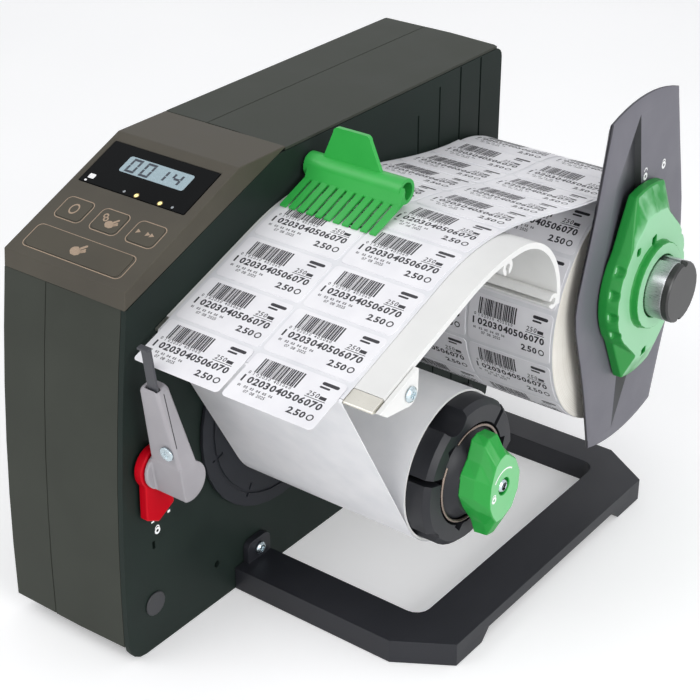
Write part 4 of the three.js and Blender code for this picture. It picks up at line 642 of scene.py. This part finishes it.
def printed(name, sheet, surface, material, body, lift):
    laid(name, sheet.data(), [(0, 0)], surface, material, body, lift)


# Housing

for node in ("left_cover", "right_cover"):
    dress(node, shell_dark, 0.7, 3, 20)
dress("side_plate", plate_dark, 0.5, 3)
dress("base_plate", plate_dark)
dress("rear_panel", plate_dark, 0.4)
dress("mains_inlet", black_plastic, 0.4)
dress("hole_plug", black_plastic, 0.25)
for node in ("left_front_foot", "left_rear_foot"):
    dress(node, rubber_black, 0.5)


def on_panel(x, s, n):
    return at(x, *slanted((PANEL_LIP_Y, PANEL_LIP_Z), PANEL_ANGLE, s, n))


def panel_block(name, lower, n0, n1, upper=None):
    rings = [[on_panel(x, s, n) for x, s in line] for n, line in ((n0, lower), (n1, upper or lower))]
    return helper(name, loft(name, rings))


def under_panel(y):
    """The height of the panel's slanted foot."""
    return PANEL_FOOT[1] + (y - PANEL_FOOT[0]) * PANEL_FOOT_SLOPE


def control_panel():
    """The panel's moulding: soft edges round its slanted face, then its pockets and its hollow."""
    lip, softness, below, above, flare = 0.52, 3.2, 9, 5, 2.6
    kink_y = (HOUSING_TOP - PANEL_BASE) / PANEL_SLOPE
    outline = [PANEL_FOOT, (PANEL_REAR, under_panel(PANEL_REAR)), (PANEL_REAR, HOUSING_TOP), (kink_y, HOUSING_TOP),
               (PANEL_LIP_Y + lip, PANEL_LIP_Z + PANEL_SLOPE * lip)]
    mesh = prism("panel_blank", outline, -HOUSING_WIDTH, 0)
    solid = bmesh.new()
    solid.from_mesh(mesh)
    middles = {edge: ((edge.verts[0].co + edge.verts[1].co) / 2 - CORNER) / MM for edge in solid.edges}
    soft = [edge for edge, middle in middles.items() if middle.z > under_panel(middle.y) + 0.5]
    bmesh.ops.bevel(solid, geom=soft, offset=softness * MM, segments=6, profile=0.5, affect="EDGES",
                    clamp_overlap=True)
    solid.to_mesh(mesh)
    solid.free()
    blank = helper("panel_blank", mesh)
    hollow = [(PANEL_FOOT[0] + PANEL_WALL, PANEL_FOOT[1] - above),
              (PANEL_HOLLOW_END, under_panel(PANEL_HOLLOW_END) - above),
              (PANEL_HOLLOW_END, under_panel(PANEL_HOLLOW_END) + FIT),
              (kink_y - PANEL_WALL, HOUSING_TOP - PANEL_WALL * 1.4),
              (PANEL_LIP_Y + PANEL_WALL * 1.6, PANEL_LIP_Z - PANEL_WALL * 0.6)]
    cutters = [
        helper("panel_hollow", prism("panel_hollow", hollow, -HOUSING_WIDTH + PANEL_WALL, -PANEL_WALL)),
        panel_block("window_seat", grown(WINDOW, FIT, 1), -(WINDOW_SINK + WINDOW_THICKNESS + FIT), above),
        panel_block("window_slope", grown(WINDOW, FIT, 1), -WINDOW_SINK * 1.6, 1, grown(WINDOW, flare, 3)),
        panel_block("window_hole", grown(WINDOW, -WINDOW_LEDGE, 1), -below, 0),
    ]
    gap = FIT * 0.6
    cutters += [panel_block("key_hole", grown(key, gap, KEY_CORNER + gap), -below, above) for key in KEYS.values()]
    cut_away(blank, cutters)
    made = evaluated(blank, "control_panel_moulding")
    forget(blank, *cutters)
    piece = shown("control_panel_moulding", made, panel_brown, "root", ["control_panel"])
    bevel_edges(piece, 0.25, 2, 50, weight=90)


control_panel()
dress("display_window", window_black, 0.2)
for node in KEYS:
    dress(node, key_brown, 0.25, 2, 40)

SEGMENTS = {"0": "abcdef", "1": "bc", "4": "fgbc"}


def seven_segment(sheet, text, u, v, tall):
    wide, line, lean = tall * 0.65, tall * 0.15, 0.04
    half = tall / 2
    low, high = (line * 1.1, half - line * 0.15), (half + line * 0.15, tall - line * 1.1)
    bars = {
        "a": (0, wide, tall - line, tall), "d": (0, wide, 0, line),
        "g": (line, wide - line, half - line / 2, half + line / 2),
        "b": (wide - line, wide, *high), "c": (wide - line, wide, *low), "e": (0, line, *low), "f": (0, line, *high),
    }
    for letter in text:
        for segment in SEGMENTS[letter]:
            u0, u1, v0, v1 = bars[segment]
            sheet.shape([(u + a + b * lean, v + b) for a, b in ((u0, v0), (u1, v0), (u1, v1), (u0, v1))])
        u += wide + tall * 0.34


def pointing_hand(sheet, u, v, size=1.0):
    """A plain pictogram of a hand with one finger out and three folded."""
    shapes = [
        [(-4.4, -2.2), (-2.6, -4), (0.6, -4.2), (2.4, -3), (2.7, -1.2), (0.6, 0.9), (-1.6, 1.8), (-3.8, 1),
         (-4.8, -0.6)],
        [(-0.6, 0.9), (1.2, 0.2), (3.9, 3.5), (3.4, 4.4), (2.5, 4.3)],
        [(1.8, -0.9), (2.6, -1.8), (5.2, -0.2), (5, 0.7), (4.2, 0.8)],
        [(1.4, -0.2), (2.4, -1.2), (4.4, 0.9), (4.2, 1.8), (3.4, 1.9)],
    ]
    for shape in shapes:
        sheet.shape([(u + a * size, v + b * size) for a, b in shape])


def zero_mark(sheet, u, v):
    sheet.ring(*[[(u + (a - u) * 0.8, b) for a, b in circle(u, v, radius, 24)] for radius in (3.8, 2.8)])


def label_and_hand(sheet, u, v):
    for a, b in ((u - 4.6, v + 2.6), (u - 3.1, v + 0.5)):
        sheet.ring(circle(a, b, 1.7, 14), circle(a, b, 0.8, 14))
    pointing_hand(sheet, u + 2.4, v - 1, 0.85)


def arrows(sheet, u, v):
    size = 2.2
    for start in (-6.4, 0.2, 3):
        sheet.shape([(u + start, v - size * 0.7), (u + start + size * 1.25, v), (u + start, v + size * 0.7)])


ICONS = {"key_left": zero_mark, "key_middle": label_and_hand, "key_right": arrows, "wide_key": pointing_hand}


def panel_prints():
    def on_window(name, sheet, material, lift):
        printed(name, sheet, on_panel, material, "root", lift - WINDOW_SINK)

    on_window("lcd_glass", Sheet(rounded(*LCD, 1.6)), lcd_pale, INK)
    digits = Sheet()
    tall = 10.4
    seven_segment(digits, "0014", LCD[0] + 3.2, (LCD[2] + LCD[3] - tall) / 2, tall)
    on_window("lcd_digits", digits, lcd_digit, 2 * INK)
    for k, x in enumerate(LAMPS):
        lit = k in (1, 2)
        if lit:
            on_window(f"lamp_rim_{k + 1}", Sheet(circle(x, LAMP_S, 1.75)), lamp_amber, INK)
        on_window(f"lamp_{k + 1}", Sheet(circle(x, LAMP_S, 1.2 if lit else 0.85)),
                  lamp_yellow if lit else lamp_grey, 2 * INK)
    mark = Sheet(rounded(-80.2, -75.9, 61.5, 64.9, 0.6, 3), rounded(-80.6, -79, 58.9, 60.2, 0.4, 3))
    on_window("window_mark", mark, ink_white, INK)
    line = 0.5
    for node, (x0, x1, s0, s1) in KEYS.items():
        out_x, out_s = (2, 0.7) if node == "wide_key" else (1.2, 0.9)
        outer = (x0 - out_x + 0.2, x1 + out_x + 0.2, s0 - out_s - 0.3, s1 + out_s - 0.3)
        edge = Sheet()
        edge.ring(grown(outer, 0, KEY_CORNER + 0.8), grown(outer, -line, KEY_CORNER + 0.2))
        printed(node + "_outline", edge, on_panel, ink_beige, "root", INK)
        sheet = Sheet()
        ICONS[node](sheet, (x0 + x1) / 2, (s0 + s1) / 2)
        printed(node + "_print", sheet, on_panel, ink_beige, node + "_body", FIT + INK)


panel_prints()


# Media

def web_line():
    """The carrier's lower face from the peel nose to the roll's top, as many short steps."""
    steps = 60
    first = slanted(NOSE, RAMP_ANGLE, NOSE_THICKNESS / 2 + FIT, FIT)
    radius = CROWN_RADIUS + FIT
    bend = math.pi / 2 + RAMP_ANGLE
    across = WEB_LEAVE_Y - CROWN[0]
    leave = math.pi / 2 - math.asin(across / CROWN_RADIUS)
    ramp = straight(first, polar(CROWN, radius, bend), steps)[:-1]
    crown = [polar(CROWN, radius, angle) for angle in spaced(bend, leave, steps)[:-1]]
    start_z = CROWN[1] + math.sqrt(radius ** 2 - across ** 2)
    end = (ROLL_AXIS[0], ROLL_AXIS[1] + ROLL_RADIUS + FIT)
    hold = [(WEB_LEAVE_Y, start_z), (210, start_z - 1.2), (262, end[1] + 0.9), end]
    slack = []
    for t in spaced(0, 1, steps):
        u = 1 - t
        weights = (u ** 3, 3 * u * u * t, 3 * u * t * t, t ** 3)
        slack.append(tuple(sum(w * p[k] for w, p in zip(weights, hold)) for k in (0, 1)))
    return ramp + crown + slack


class Path:
    """A line in (Y, Z) that can be read by the way along it, with a height above it."""

    def __init__(self, points):
        self.points = points
        self.ways = [0.0]
        for a, b in zip(points, points[1:]):
            self.ways.append(self.ways[-1] + math.dist(a, b))
        self.length = self.ways[-1]

    def at(self, way, lift):
        way = min(max(way, 0), self.length)
        k = next((i for i, done in enumerate(self.ways) if done > way), len(self.ways) - 1)
        t = (way - self.ways[k - 1]) / (self.ways[k] - self.ways[k - 1])
        ends = zip(self.points[k - 1], self.points[k], self.normal(k - 1), self.normal(k))
        return tuple(a + (b - a) * t + lift * (low + (high - low) * t) for a, b, low, high in ends)

    def normal(self, k):
        a = self.points[max(k - 1, 0)]
        b = self.points[min(k + 1, len(self.points) - 1)]
        span = math.dist(a, b)
        return -(b[1] - a[1]) / span, (b[0] - a[0]) / span


web = Path(web_line())


def on_web(x, way, lift):
    return at(x, *web.at(way, lift))


def on_roll(x, way, lift):
    """Onward from the web's end: over the roll's top, down its back and round."""
    return at(x, *polar(ROLL_AXIS, ROLL_RADIUS + lift, math.pi / 2 - way / ROLL_RADIUS))


def on_first(x, way, lift):
    """The first labels go straight on past the nose."""
    return at(x, *slanted(NOSE, RAMP_ANGLE, way, lift))


def label_print():
    """Generic print: a bar code, plain digits in several sizes and a plain mark."""
    sheet = Sheet(rounded(43.4, 53.6, 26.9, 28.9, 1, 3), rounded(43.4, 49.6, 24.8, 26, 0.6, 3))
    pick = random.Random(12)
    u = 6.6
    while u < 32:
        wide = pick.choice((0.28, 0.28, 0.5, 0.75, 1.0))
        sheet.bar(u, u + wide, 19.2, 29.4)
        u += wide + pick.choice((0.26, 0.26, 0.42, 0.6))
    for line in (
        ("0", 4.0, 17.5, 2), ("102030", 7.2, 17.3, 1.9, 1.0), ("405060", 20, 17.3, 1.9, 1.0),
        ("10203040506070", 3.2, 11.9, 4.5, 0.79, 0, 1.1, "bold"),
        ("01 02 03 04 05 06", 3.8, 8.6, 1.6, 0.82, 0, 1, "bold"),
        ("07 08 2025", 9.4, 5.9, 1.9, 0.72), ("250", 40, 18.3, 3, 0.82, 0.12),
        ("2", 37.2, 4.6, 4.1, 0.8, 0, 1.15, "bold"), ("50", 41.6, 4.6, 4.1, 0.8, 0, 1.15, "bold"),
    ):
        sheet.glyphs(*line)
    sheet.bar(40.3, 41, 4.6, 5.3)
    sheet.ring(circle(51, 6.65, 2), circle(51, 6.65, 1.3))
    sheet.bar(47.6, 51.6, 18.3, 20.3)
    sheet.bar(39.6, 52.2, 17.2, 17.6)
    return sheet.sliced()


blank_label = Sheet(rounded(0, LABEL_WIDTH, 0, LABEL_LENGTH, LABEL_CORNER, 5)).sliced()
printed_label = label_print()


def labels(names, places, surface, body, lift, share, replaces=()):
    """Blank labels with a share of their real thickness, and the print above them."""
    laid(names[0], blank_label, places, surface, label_white, body, lift, LABEL_THICKNESS * share,
         replaces)
    laid(names[1], printed_label, places, surface, ink_black, body, lift + INK)


def band(name, path, low_side, high_side, material, replaces):
    """A thin sheet of even thickness along a path, as wide as the media."""
    points = []
    for k, (y, z) in enumerate(path.points):
        ny, nz = path.normal(k)
        points += [at(x, y + ny * lift, z + nz * lift) for x in MEDIA for lift in (low_side, high_side)]
    last = len(points) - 4
    faces = []
    for a in range(0, last, 4):
        b = a + 4
        faces += [(a, a + 2, b + 2, b), (a + 1, b + 1, b + 3, a + 3), (a, b, b + 1, a + 1),
                  (a + 2, a + 3, b + 3, b + 2)]
    faces += [(0, 1, 3, 2), (last, last + 2, last + 3, last + 1)]
    split_edges(shown(name, mesh_of(name, points, faces), material, "root", replaces))


def winding(name, profile, axis, steps, side, rim, body, replaces):
    """A ring of turns: their edges show at its sides, and the last turn on its round face."""
    piece = shown(name, lathe(name, profile, axis, steps), side, body, replaces)
    piece.data.materials.append(rim)
    for polygon in piece.data.polygons:
        if abs(polygon.normal.x) < 0.5:
            polygon.material_index = 1
    split_edges(piece, 30)


band("carrier_web", web, 0, WEB_THICKNESS, web_pale, ["label_strip"])
first_row = LABEL_PITCH - LABEL_OVERHANG - NOSE_THICKNESS / 2 - FIT
web_rows = [first_row + k * LABEL_PITCH for k in range(12)]
web_rows = [way for way in web_rows if way + LABEL_LENGTH * 0.9 < web.length]
plate_top = WEB_THICKNESS + LABEL_THICKNESS
web_places = [(x, min(way, web.length - LABEL_LENGTH)) for way in web_rows for x in LABEL_COLUMNS]
labels(("web_labels", "web_print"), web_places, on_web, "root", plate_top, 0.95)

front_lift = 2 * FIT + WEB_THICKNESS + LABEL_THICKNESS
for column, side in zip(LABEL_COLUMNS, ("left", "right")):
    labels((f"peeled_label_{side}", f"peeled_print_{side}"), [(column, -LABEL_OVERHANG)], on_first, "root",
           front_lift, 0.9, [f"front_label_{side}"])

# The supply roll: its winding, and the labels of its outer turn
outer_turn = ROLL_RADIUS - LABEL_THICKNESS
profile = [(MEDIA[0], CORE_RADIUS), (MEDIA[0], outer_turn - EDGE), (MEDIA[0] + EDGE, outer_turn),
           (MEDIA[1] - EDGE, outer_turn), (MEDIA[1], outer_turn - EDGE), (MEDIA[1], CORE_RADIUS)]
winding("supply_winding", profile, ROLL_AXIS, 160, roll_side, web_pale, "supply", ["supply_roll"])
rest = web_rows[-1] + LABEL_PITCH - web.length
roll_places = []
way = rest
while way + LABEL_LENGTH < 2 * math.pi * ROLL_RADIUS + min(rest, 0):
    roll_places += [(x, way) for x in LABEL_COLUMNS]
    way += LABEL_PITCH
labels(("roll_labels", "roll_print"), roll_places, on_roll, "supply", 0, 1)
dress("supply_core", cardboard)


def liner_line():
    """Round the nose bar, straight down to the winding, and on round it."""
    half = NOSE_THICKNESS / 2
    nose = slanted(NOSE, RAMP_ANGLE, half, -half)
    inner, outer = half + FIT, WINDING_RADIUS + FIT
    dy, dz = REWINDER[0] - nose[0], REWINDER[1] - nose[1]
    away = math.atan2(dz, dy) + math.pi * 1.5 - math.asin((outer - inner) / math.hypot(dy, dz))
    round_nose = [polar(nose, inner, angle) for angle in spaced(math.pi / 2 + RAMP_ANGLE, away, 16)]
    on_winding = [polar(REWINDER, outer, angle) for angle in spaced(away, away + 1.7, 48)]
    return round_nose + straight(round_nose[-1], on_winding[0], 24)[1:-1] + on_winding


band("liner_sheet", Path(liner_line()), -WEB_THICKNESS, 0, liner_pale, ["liner_web"])
take_up = tube(TAKE_UP_X, MEDIA[1], MANDREL_RADIUS + FIT, WINDING_RADIUS)
winding("liner_winding", take_up, REWINDER, 128, winding_side, liner_pale, "rewinder", ["take_up_roll"])

# Rewinder
dress("inner_disc", disc_black)
dress("mandrel_core", black_plastic)
for node in ("upper_segment", "front_segment", "rear_segment"):
    dress(node, mandrel_black, 0.6, 3, 30)


def spring_wire():
    """The round wire ring in the mandrel's mouth, open over a short gap."""
    curve = bpy.data.curves.new("ring_wire", "CURVE")
    curve.dimensions = "3D"
    curve.bevel_depth = 0.85 * MM
    curve.bevel_resolution = 5
    curve.use_fill_caps = True
    spline = curve.splines.new("NURBS")
    start, sweep, steps = 147, 332, 60
    spline.points.add(steps)
    for point, place in zip(spline.points, arc_points(REWINDER, WIRE_RADIUS, start, start + sweep, steps)):
        point.co = (*at(WIRE_X, *place), 1)
    spline.order_u = 4
    spline.use_endpoint_u = True
    curve.materials.append(wire_steel)
    wire = helper("ring_wire", curve)
    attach(wire, "rewinder")
    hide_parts("spring_clip")


def knob():
    """A wing-shaped grip on a black collar that fills the mandrel's mouth."""
    back = [(3.5, 28.4), (-4.6, 29.8), (-9.5, 28.2), (-12.9, 18.3), (-19.2, 11), (-20.6, -1.5), (-16.2, -10.6),
            (-7, -24), (-3, -34.5), (3.5, -35.8), (13, -20), (18, -9), (19, 2), (14, 13), (8, 20)]
    shoulder = [(3.5, 28.2), (-4.2, 28.8), (-8.6, 26), (-11.8, 17), (-16.8, 9.5), (-18, -2), (-14.6, -11),
                (-6.4, -24), (-2.4, -34), (4.2, -35.4), (13, -19.5), (17.5, -9), (18.4, 2), (13.4, 13), (7.4, 20)]
    face = [(0.4, 20), (-4.5, 19), (-8.4, 16), (-10.6, 11.5), (-12.6, 6), (-13.4, -2), (-12.6, -9),
            (-9.8, -15), (-6.4, -19.5), (-0.9, -20.3), (9.4, -17.2), (14.7, -8.6), (15.8, 1.6), (11, 12), (4, 18)]
    rings = rings_round(REWINDER, ((KNOB_BACK, back), (KNOB_SHOULDER, shoulder), (KNOB_FACE, face)))
    recess = lathe("knob_recess", tube(KNOB_FACE - 3, KNOB_FACE + 2, 0, 5), REWINDER, 32)
    # The grip's green paints a highlight on its face turned to +X and shade on its flanks.
    soften([loft("knob_blank", rings)], "knob_grip", green_grip_painted_light, "knob", ["rewind_knob"], 0.4, [recess],
           24000)
    profile = [(122, 3), (122, 19.5), (131, 19.5), (131, 26.4), (134, 26.4), (134.6, 25.8), (136.4, 23), (141.4, 21),
               (141.4, 3)]
    collar = lathe("knob_collar", profile, REWINDER, 72)
    split_edges(shown("knob_collar", collar, mandrel_black, "knob"), 40)


spring_wire()
knob()
dress("knob_screw", zinc)

# Unwinder
dress("unwind_shaft", aluminium)
dress("shaft_cap", cap_black, 0.5, 3)


def stop_outline(inset):
    """The stop's outline round the shaft, a little shorter below it."""
    tip = 116.5
    right = ((61, 0), (60.5, 15), (58, 32), (53, 53), (47, 76.5), (40.3, 104))
    left = ((-40, 104), (-45.5, 79), (-50, 60), (-55, 42), (-59.8, 27), (-64, 12), (-65.5, 0))
    corner = math.degrees(math.acos(39 / tip))
    upper = [*right, *arc_points((0, 0), tip, corner, 180 - corner, 10), *left]
    whole = upper + [(y, -z * 0.93) for y, z in upper[-2:0:-1]]
    return [(y * (1 - inset / 62), z * (1 - inset / tip)) for y, z in whole]


def margin_stop():
    """A thin plate whose edges are drawn in at the back, with a groove that runs up to its tip; the groove's faces
    carry painted shade.
    """
    levels = ((STOP_BACK, 7), (STOP_FACE - 2.2, 1.2), (STOP_FACE - 1.5, 0.3), (STOP_FACE - 0.5, 0), (STOP_FACE, 0.8),
              (STOP_FACE + 0.25, 6))
    rings = rings_round(SHAFT, [(x, stop_outline(inset)) for x, inset in levels])
    blank = helper("stop_blank", loft("stop_blank", rings))
    grooves = []
    upper = ([(1.2, 20), (0.2, 56), (-7.6, 98), (-13, 60), (-15, 20)],
             [(1.9, 18), (1.2, 56), (-7.2, 107), (-32, 66), (-41, 18)])
    lower = ([(-9, -20), (-9.2, -60), (-10.8, -94), (-4, -56), (-2, -20)],
             [(-9.6, -18), (-10, -64), (-11.2, -101), (6, -66), (15, -18)])
    for floor, rim in (upper, lower):
        rings = rings_round(SHAFT, ((STOP_FACE - 3.2, floor), (STOP_FACE + 0.6, rim)))
        grooves.append(helper("stop_groove_painted_shade", loft("stop_groove_painted_shade", rings)))
    # The groove cutters carry the groove material, so the cut faces get its painted shade; the plate keeps the grey
    # with its painted highlight and shade.
    for piece in (blank, *grooves):
        for material in (stop_grey, stop_groove_painted_shade):
            piece.data.materials.append(material)
        for polygon in piece.data.polygons:
            polygon.material_index = int(piece is not blank)
    bore = lathe("stop_bore", tube(STOP_BACK - 5, STOP_FACE + 5, 0, SLEEVE_RADIUS), SHAFT, 64)
    cutters = [*grooves, helper("stop_bore", bore)]
    cut_away(blank, cutters)
    made = evaluated(blank, "stop_plate")
    forget(blank, *cutters)
    # The plate and the hub carry the stop's grey with a painted highlight on faces turned to +X and painted shade on
    # the flanks.
    bevel_edges(shown("stop_plate", made, stop_grey, "stop", ["margin_stop"]), EDGE, 2, 35, weight=90)
    hub = lathe("stop_hub", tube(STOP_BACK, HUB_END, SLEEVE_RADIUS, HUB_RADIUS), SHAFT, 72)
    split_edges(shown("stop_hub", hub, stop_grey, "stop"), 40)


margin_stop()
hole = [(-2.4, -3), (2.4, -1.8), (2.4, 3), (-2.4, 1.8)]
ring_holes = [loft("ring_hole", rings_round((SHAFT[0] + y, SHAFT[1] + z), [(x, hole) for x in (135, 160)]))
              for y, z in ((-2.2, 29.5), (-3, -45))]
# The ring's green paints a highlight on its face turned to +X and shade on its flanks.
soften([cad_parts["lock_ring"].data], "lock_ring_grip", green_ring_painted_light, "ring", ["lock_ring"], 0.55,
       ring_holes)

# Platform and comb
dress("platform", white_coat, 0.35, 3)
dress("peel_bar", bare_edge, EDGE, 3)
dress("end_lug", white_coat, 0.4, 3)
dress("comb", green_plastic, 0.4, 3)
dress("comb_rod", steel)


# Sensor arm and lever

def leaned(x, y, up):
    """A point in the arm's own frame, whose upright leans back."""
    return at(x, *slanted(PIVOT, ARM_LEAN, y, up))


def arm_ring(up, x0, x1, y0, y1, corner=1.5):
    x, y = (x0 + corner, x1 - corner), (y0 + corner, y1 - corner)
    line = ((x[0], y0), (x[1], y0), (x1, y[0]), (x1, y[1]), (x[1], y1), (x[0], y1), (x0, y[1]), (x0, y[0]))
    return [leaned(*point, up) for point in line]


def arm_box(up, x0, x1, y0, y1):
    return [leaned(x, y, up) for x, y in ((x0, y0), (x1, y0), (x1, y1), (x0, y1))]


def arm_disc(name, line, x0, x1):
    return loft(name, [[leaned(x, y, up) for y, up in line] for x in (x0, x1)])


def sensor_arm():
    """The arm with its seam, screw and feeler; its hub is cut flat where the front runs over it."""
    front, hub_radius = -6.3, 11.6
    body = loft("arm_body", [
        arm_ring(-9.4, 12, 29.6, front, 4), arm_ring(-6, 10.2, 31.2, front, 8), arm_ring(0, 9.8, 31.5, front, 8.6),
        arm_ring(10, 9.8, 31.5, -6.1, 7), arm_ring(56, 10, 23.6, -4.8, 4.8), arm_ring(58.4, 11.8, 21.8, -3.9, 4, 1.2),
    ])
    start = -math.degrees(math.acos(front / hub_radius))
    hub_line = [*arc_points((0, 0), hub_radius, start, 90, 24), (front, hub_radius)]
    hub = arm_disc("arm_hub", hub_line, 9.8, 31.4)
    flange = arm_disc("arm_flange", circle(0, 0, hub_radius - 0.2, 24), 8.3, 10.6)
    slot = loft("arm_slot", [arm_box(up, 13.4, 22, -3.7, -0.3) for up in (50, 62)])
    soften([body, hub, flange], "arm_shell", arm_grey, "arm", ["arm_front_shell", "arm_rear_shell"],
           0.4, [slot])
    seam = [arm_box(up, edge - 0.6, edge + 0.05, side, side + 0.5)
            for up, side, edge in ((24, -3.8, 29.1), (40, -2.2, 26.35), (55.6, -0.6, 23.67))]
    shown("arm_seam", loft("arm_seam", seam), rubber_black, "arm")
    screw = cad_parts["arm_screw"].data.copy()
    screw.materials.clear()
    shift = leaned(5.2, 0, 1.6) - leaned(0, 0, 0)
    for vert in screw.vertices:
        vert.co += shift
    round_edges(shown("arm_screw_head", screw, zinc, "arm", ["arm_screw"]), segments=2)
    tongue = [arm_box(up, 14.9 + k, 21.8 + k, -2.8, -1.6) for up, k in ((47, 0), (84.6, 0.6))]
    hook = [arm_box(up, 15.5, 22.4, -5.2, -1.6) for up in (83.6, 85)]
    for name, rings, nodes in (("feeler_tongue", tongue, ["feeler"]), ("feeler_tip", hook, [])):
        round_edges(shown(name, loft(name, rings), feeler_grey, "feeler_body", nodes))


def red_lever():
    disc = arc_points(PIVOT, LEVER_RADIUS, -46, 220, 44)
    tail = [(PIVOT[0] + y, PIVOT[1] + z) for y, z in ((-10.4, -29.2), (-1.6, -34), (1.6, -32.4), (11, -27.4))]
    lever = shown("lever_arm", prism("lever_arm", disc + tail, 2, 7.6), red_plastic, "lever", ["red_lever"])
    round_edges(lever, 0.8, 3, 25)


sensor_arm()
red_lever()
dress("arm_pivot", steel)
for node in ("lug_screw", "platform_screw", "frame_screw"):
    dress(node, zinc)

# Foot frame
dress("foot_frame", frame_black, 0.9, 3)

# Inside the housing
for node, material in {
    "display_board": board_green, "main_board": board_green, "power_supply": steel,
    "rewind_motor": black_plastic, "motor_pulley": aluminium, "drive_belt": rubber_black,
    "rewind_pulley": black_plastic, "bearing_housing": aluminium, "inner_bearing": steel,
    "outer_bearing": steel, "rewind_axle": steel,
}.items():
    dress(node, material, 0.2, 1)


# Printed marks

def on_side(x_plane):
    return lambda y, z, lift: at(x_plane + lift, y, z)


def padlock(sheet, u, v, size, opened=0.0):
    """A plain closed or open lock as an outline."""
    sheet.ring(circle(u, v, 1.9 * size, 18), circle(u, v, 0.8 * size, 18))
    sheet.arc((u, v + 1.6 * size + opened), 1.25 * size, 0.55 * size, -10, 190, 10)


def side_marks():
    plate = Sheet()
    plate.bar(37.9, 40, 83, 84.6)
    plate.bar(25, 27.2, 83, 84)
    padlock(plate, 29.3, 76.2, 1.15)
    printed("plate_marks", plate, on_side(0), ink_white, "root", INK)
    stop = Sheet()
    for y, z, opened in ((4.9, 64, 1.6), (27.5, 63.7, 0.0)):
        padlock(stop, SHAFT[0] + y, SHAFT[1] + z, 1.25, opened)
    printed("stop_marks", stop, on_side(STOP_FACE + 0.25), ink_white, "stop", INK)
    grip = Sheet()
    grip.arc(REWINDER, 10.8, 0.9, 50, 148, 18)
    padlock(grip, REWINDER[0] - 9.6, REWINDER[1] - 4, 1.1)
    printed("knob_marks", grip, on_side(KNOB_FACE), ink_white, "knob", 2 * INK)


side_marks()


# Camera, light and floor, in metres

CAMERA_PLACE = (0.50767, -0.70938, 0.61303)
CAMERA_LENS = 86.97
CAMERA_TILT = 61
CAMERA_TURN = 37.18
# Each lamp: watts, side, place and the point it faces
LIGHTS = {
    "key_light": (9, 1.1, (-0.7, -1.1, 1.5), (0, 0, 0.12)),
    "low_light": (4.5, 1.0, (0.3, -1.4, 0.2), (0.05, 0, 0.1)),
    "side_light": (13, 0.9, (1.5, -0.5, 0.7), (0.05, 0, 0.12)),
    "top_light": (5, 1.4, (0.2, 0.5, 1.7), (0, 0, 0.1)),
}
# Strengths for the light on the object, and for what is seen or mirrored
WORLD = (0.5, 1.0)
FLOOR_LIFT = (0.0, 0.26)
FLOOR_HALF = 6
FLOOR_DROP = 0.0003


def seen_rays(node, links, unseen, seen):
    """One strength for the light that falls on the object, another for what is seen or mirrored."""
    path = node("ShaderNodeLightPath")
    either = path.outputs["Is Camera Ray"]
    for name in ("Is Glossy Ray", "Is Transmission Ray"):
        both = node("ShaderNodeMath")
        both.operation = "MAXIMUM"
        links.new(either, both.inputs[0])
        links.new(path.outputs[name], both.inputs[1])
        either = both.outputs[0]
    strength = node("ShaderNodeMapRange")
    strength.inputs["To Min"].default_value = unseen
    strength.inputs["To Max"].default_value = seen
    links.new(either, strength.inputs["Value"])
    return strength.outputs["Result"]


def studio():
    camera = bpy.data.cameras.new("camera")
    camera.lens = CAMERA_LENS
    camera.sensor_width = 36
    view = helper("camera", camera)
    view.location = CAMERA_PLACE
    view.rotation_euler = (math.radians(CAMERA_TILT), 0, math.radians(CAMERA_TURN))
    scene = bpy.context.scene
    scene.camera = view
    scene.view_settings.view_transform = "Standard"

    for name, (energy, size, place, target) in LIGHTS.items():
        light = bpy.data.lights.new(name, "AREA")
        light.energy = energy
        light.size = size
        lamp = helper(name, light)
        lamp.location = place
        lamp.rotation_euler = (Vector(target) - Vector(place)).to_track_quat("-Z", "Y").to_euler()

    world = bpy.data.worlds.new("studio")
    world.use_nodes = True
    scene.world = world
    sky = world.node_tree.nodes["Background"]
    sky.inputs["Color"].default_value = (0.96, 0.97, 1, 1)
    links = world.node_tree.links
    links.new(seen_rays(world.node_tree.nodes.new, links, *WORLD), sky.inputs["Strength"])

    mesh = bpy.data.meshes.new("studio_floor")
    corners = [(x * FLOOR_HALF, y * FLOOR_HALF, -FLOOR_DROP) for x, y in ((-1, -1), (1, -1), (1, 1), (-1, 1))]
    mesh.from_pydata(corners, [], [(0, 1, 2, 3)])
    floor = helper("studio_floor", mesh)
    made = Finish("floor_white", 0.7)
    made.tones(made.noise(400), "f1f1f1", "f6f6f6")
    lift = made.node("ShaderNodeEmission")
    strength = seen_rays(made.node, made.links, *FLOOR_LIFT)
    made.feed(lift, Color=(1, 1, 1, 1), Strength=strength)
    both = made.node("ShaderNodeAddShader")
    made.put(made.shader.outputs[0], both.inputs[0])
    made.put(lift.outputs[0], both.inputs[1])
    made.put(both.outputs[0], made.nodes["Material Output"].inputs["Surface"])
    mesh.materials.append(made.material)


studio()
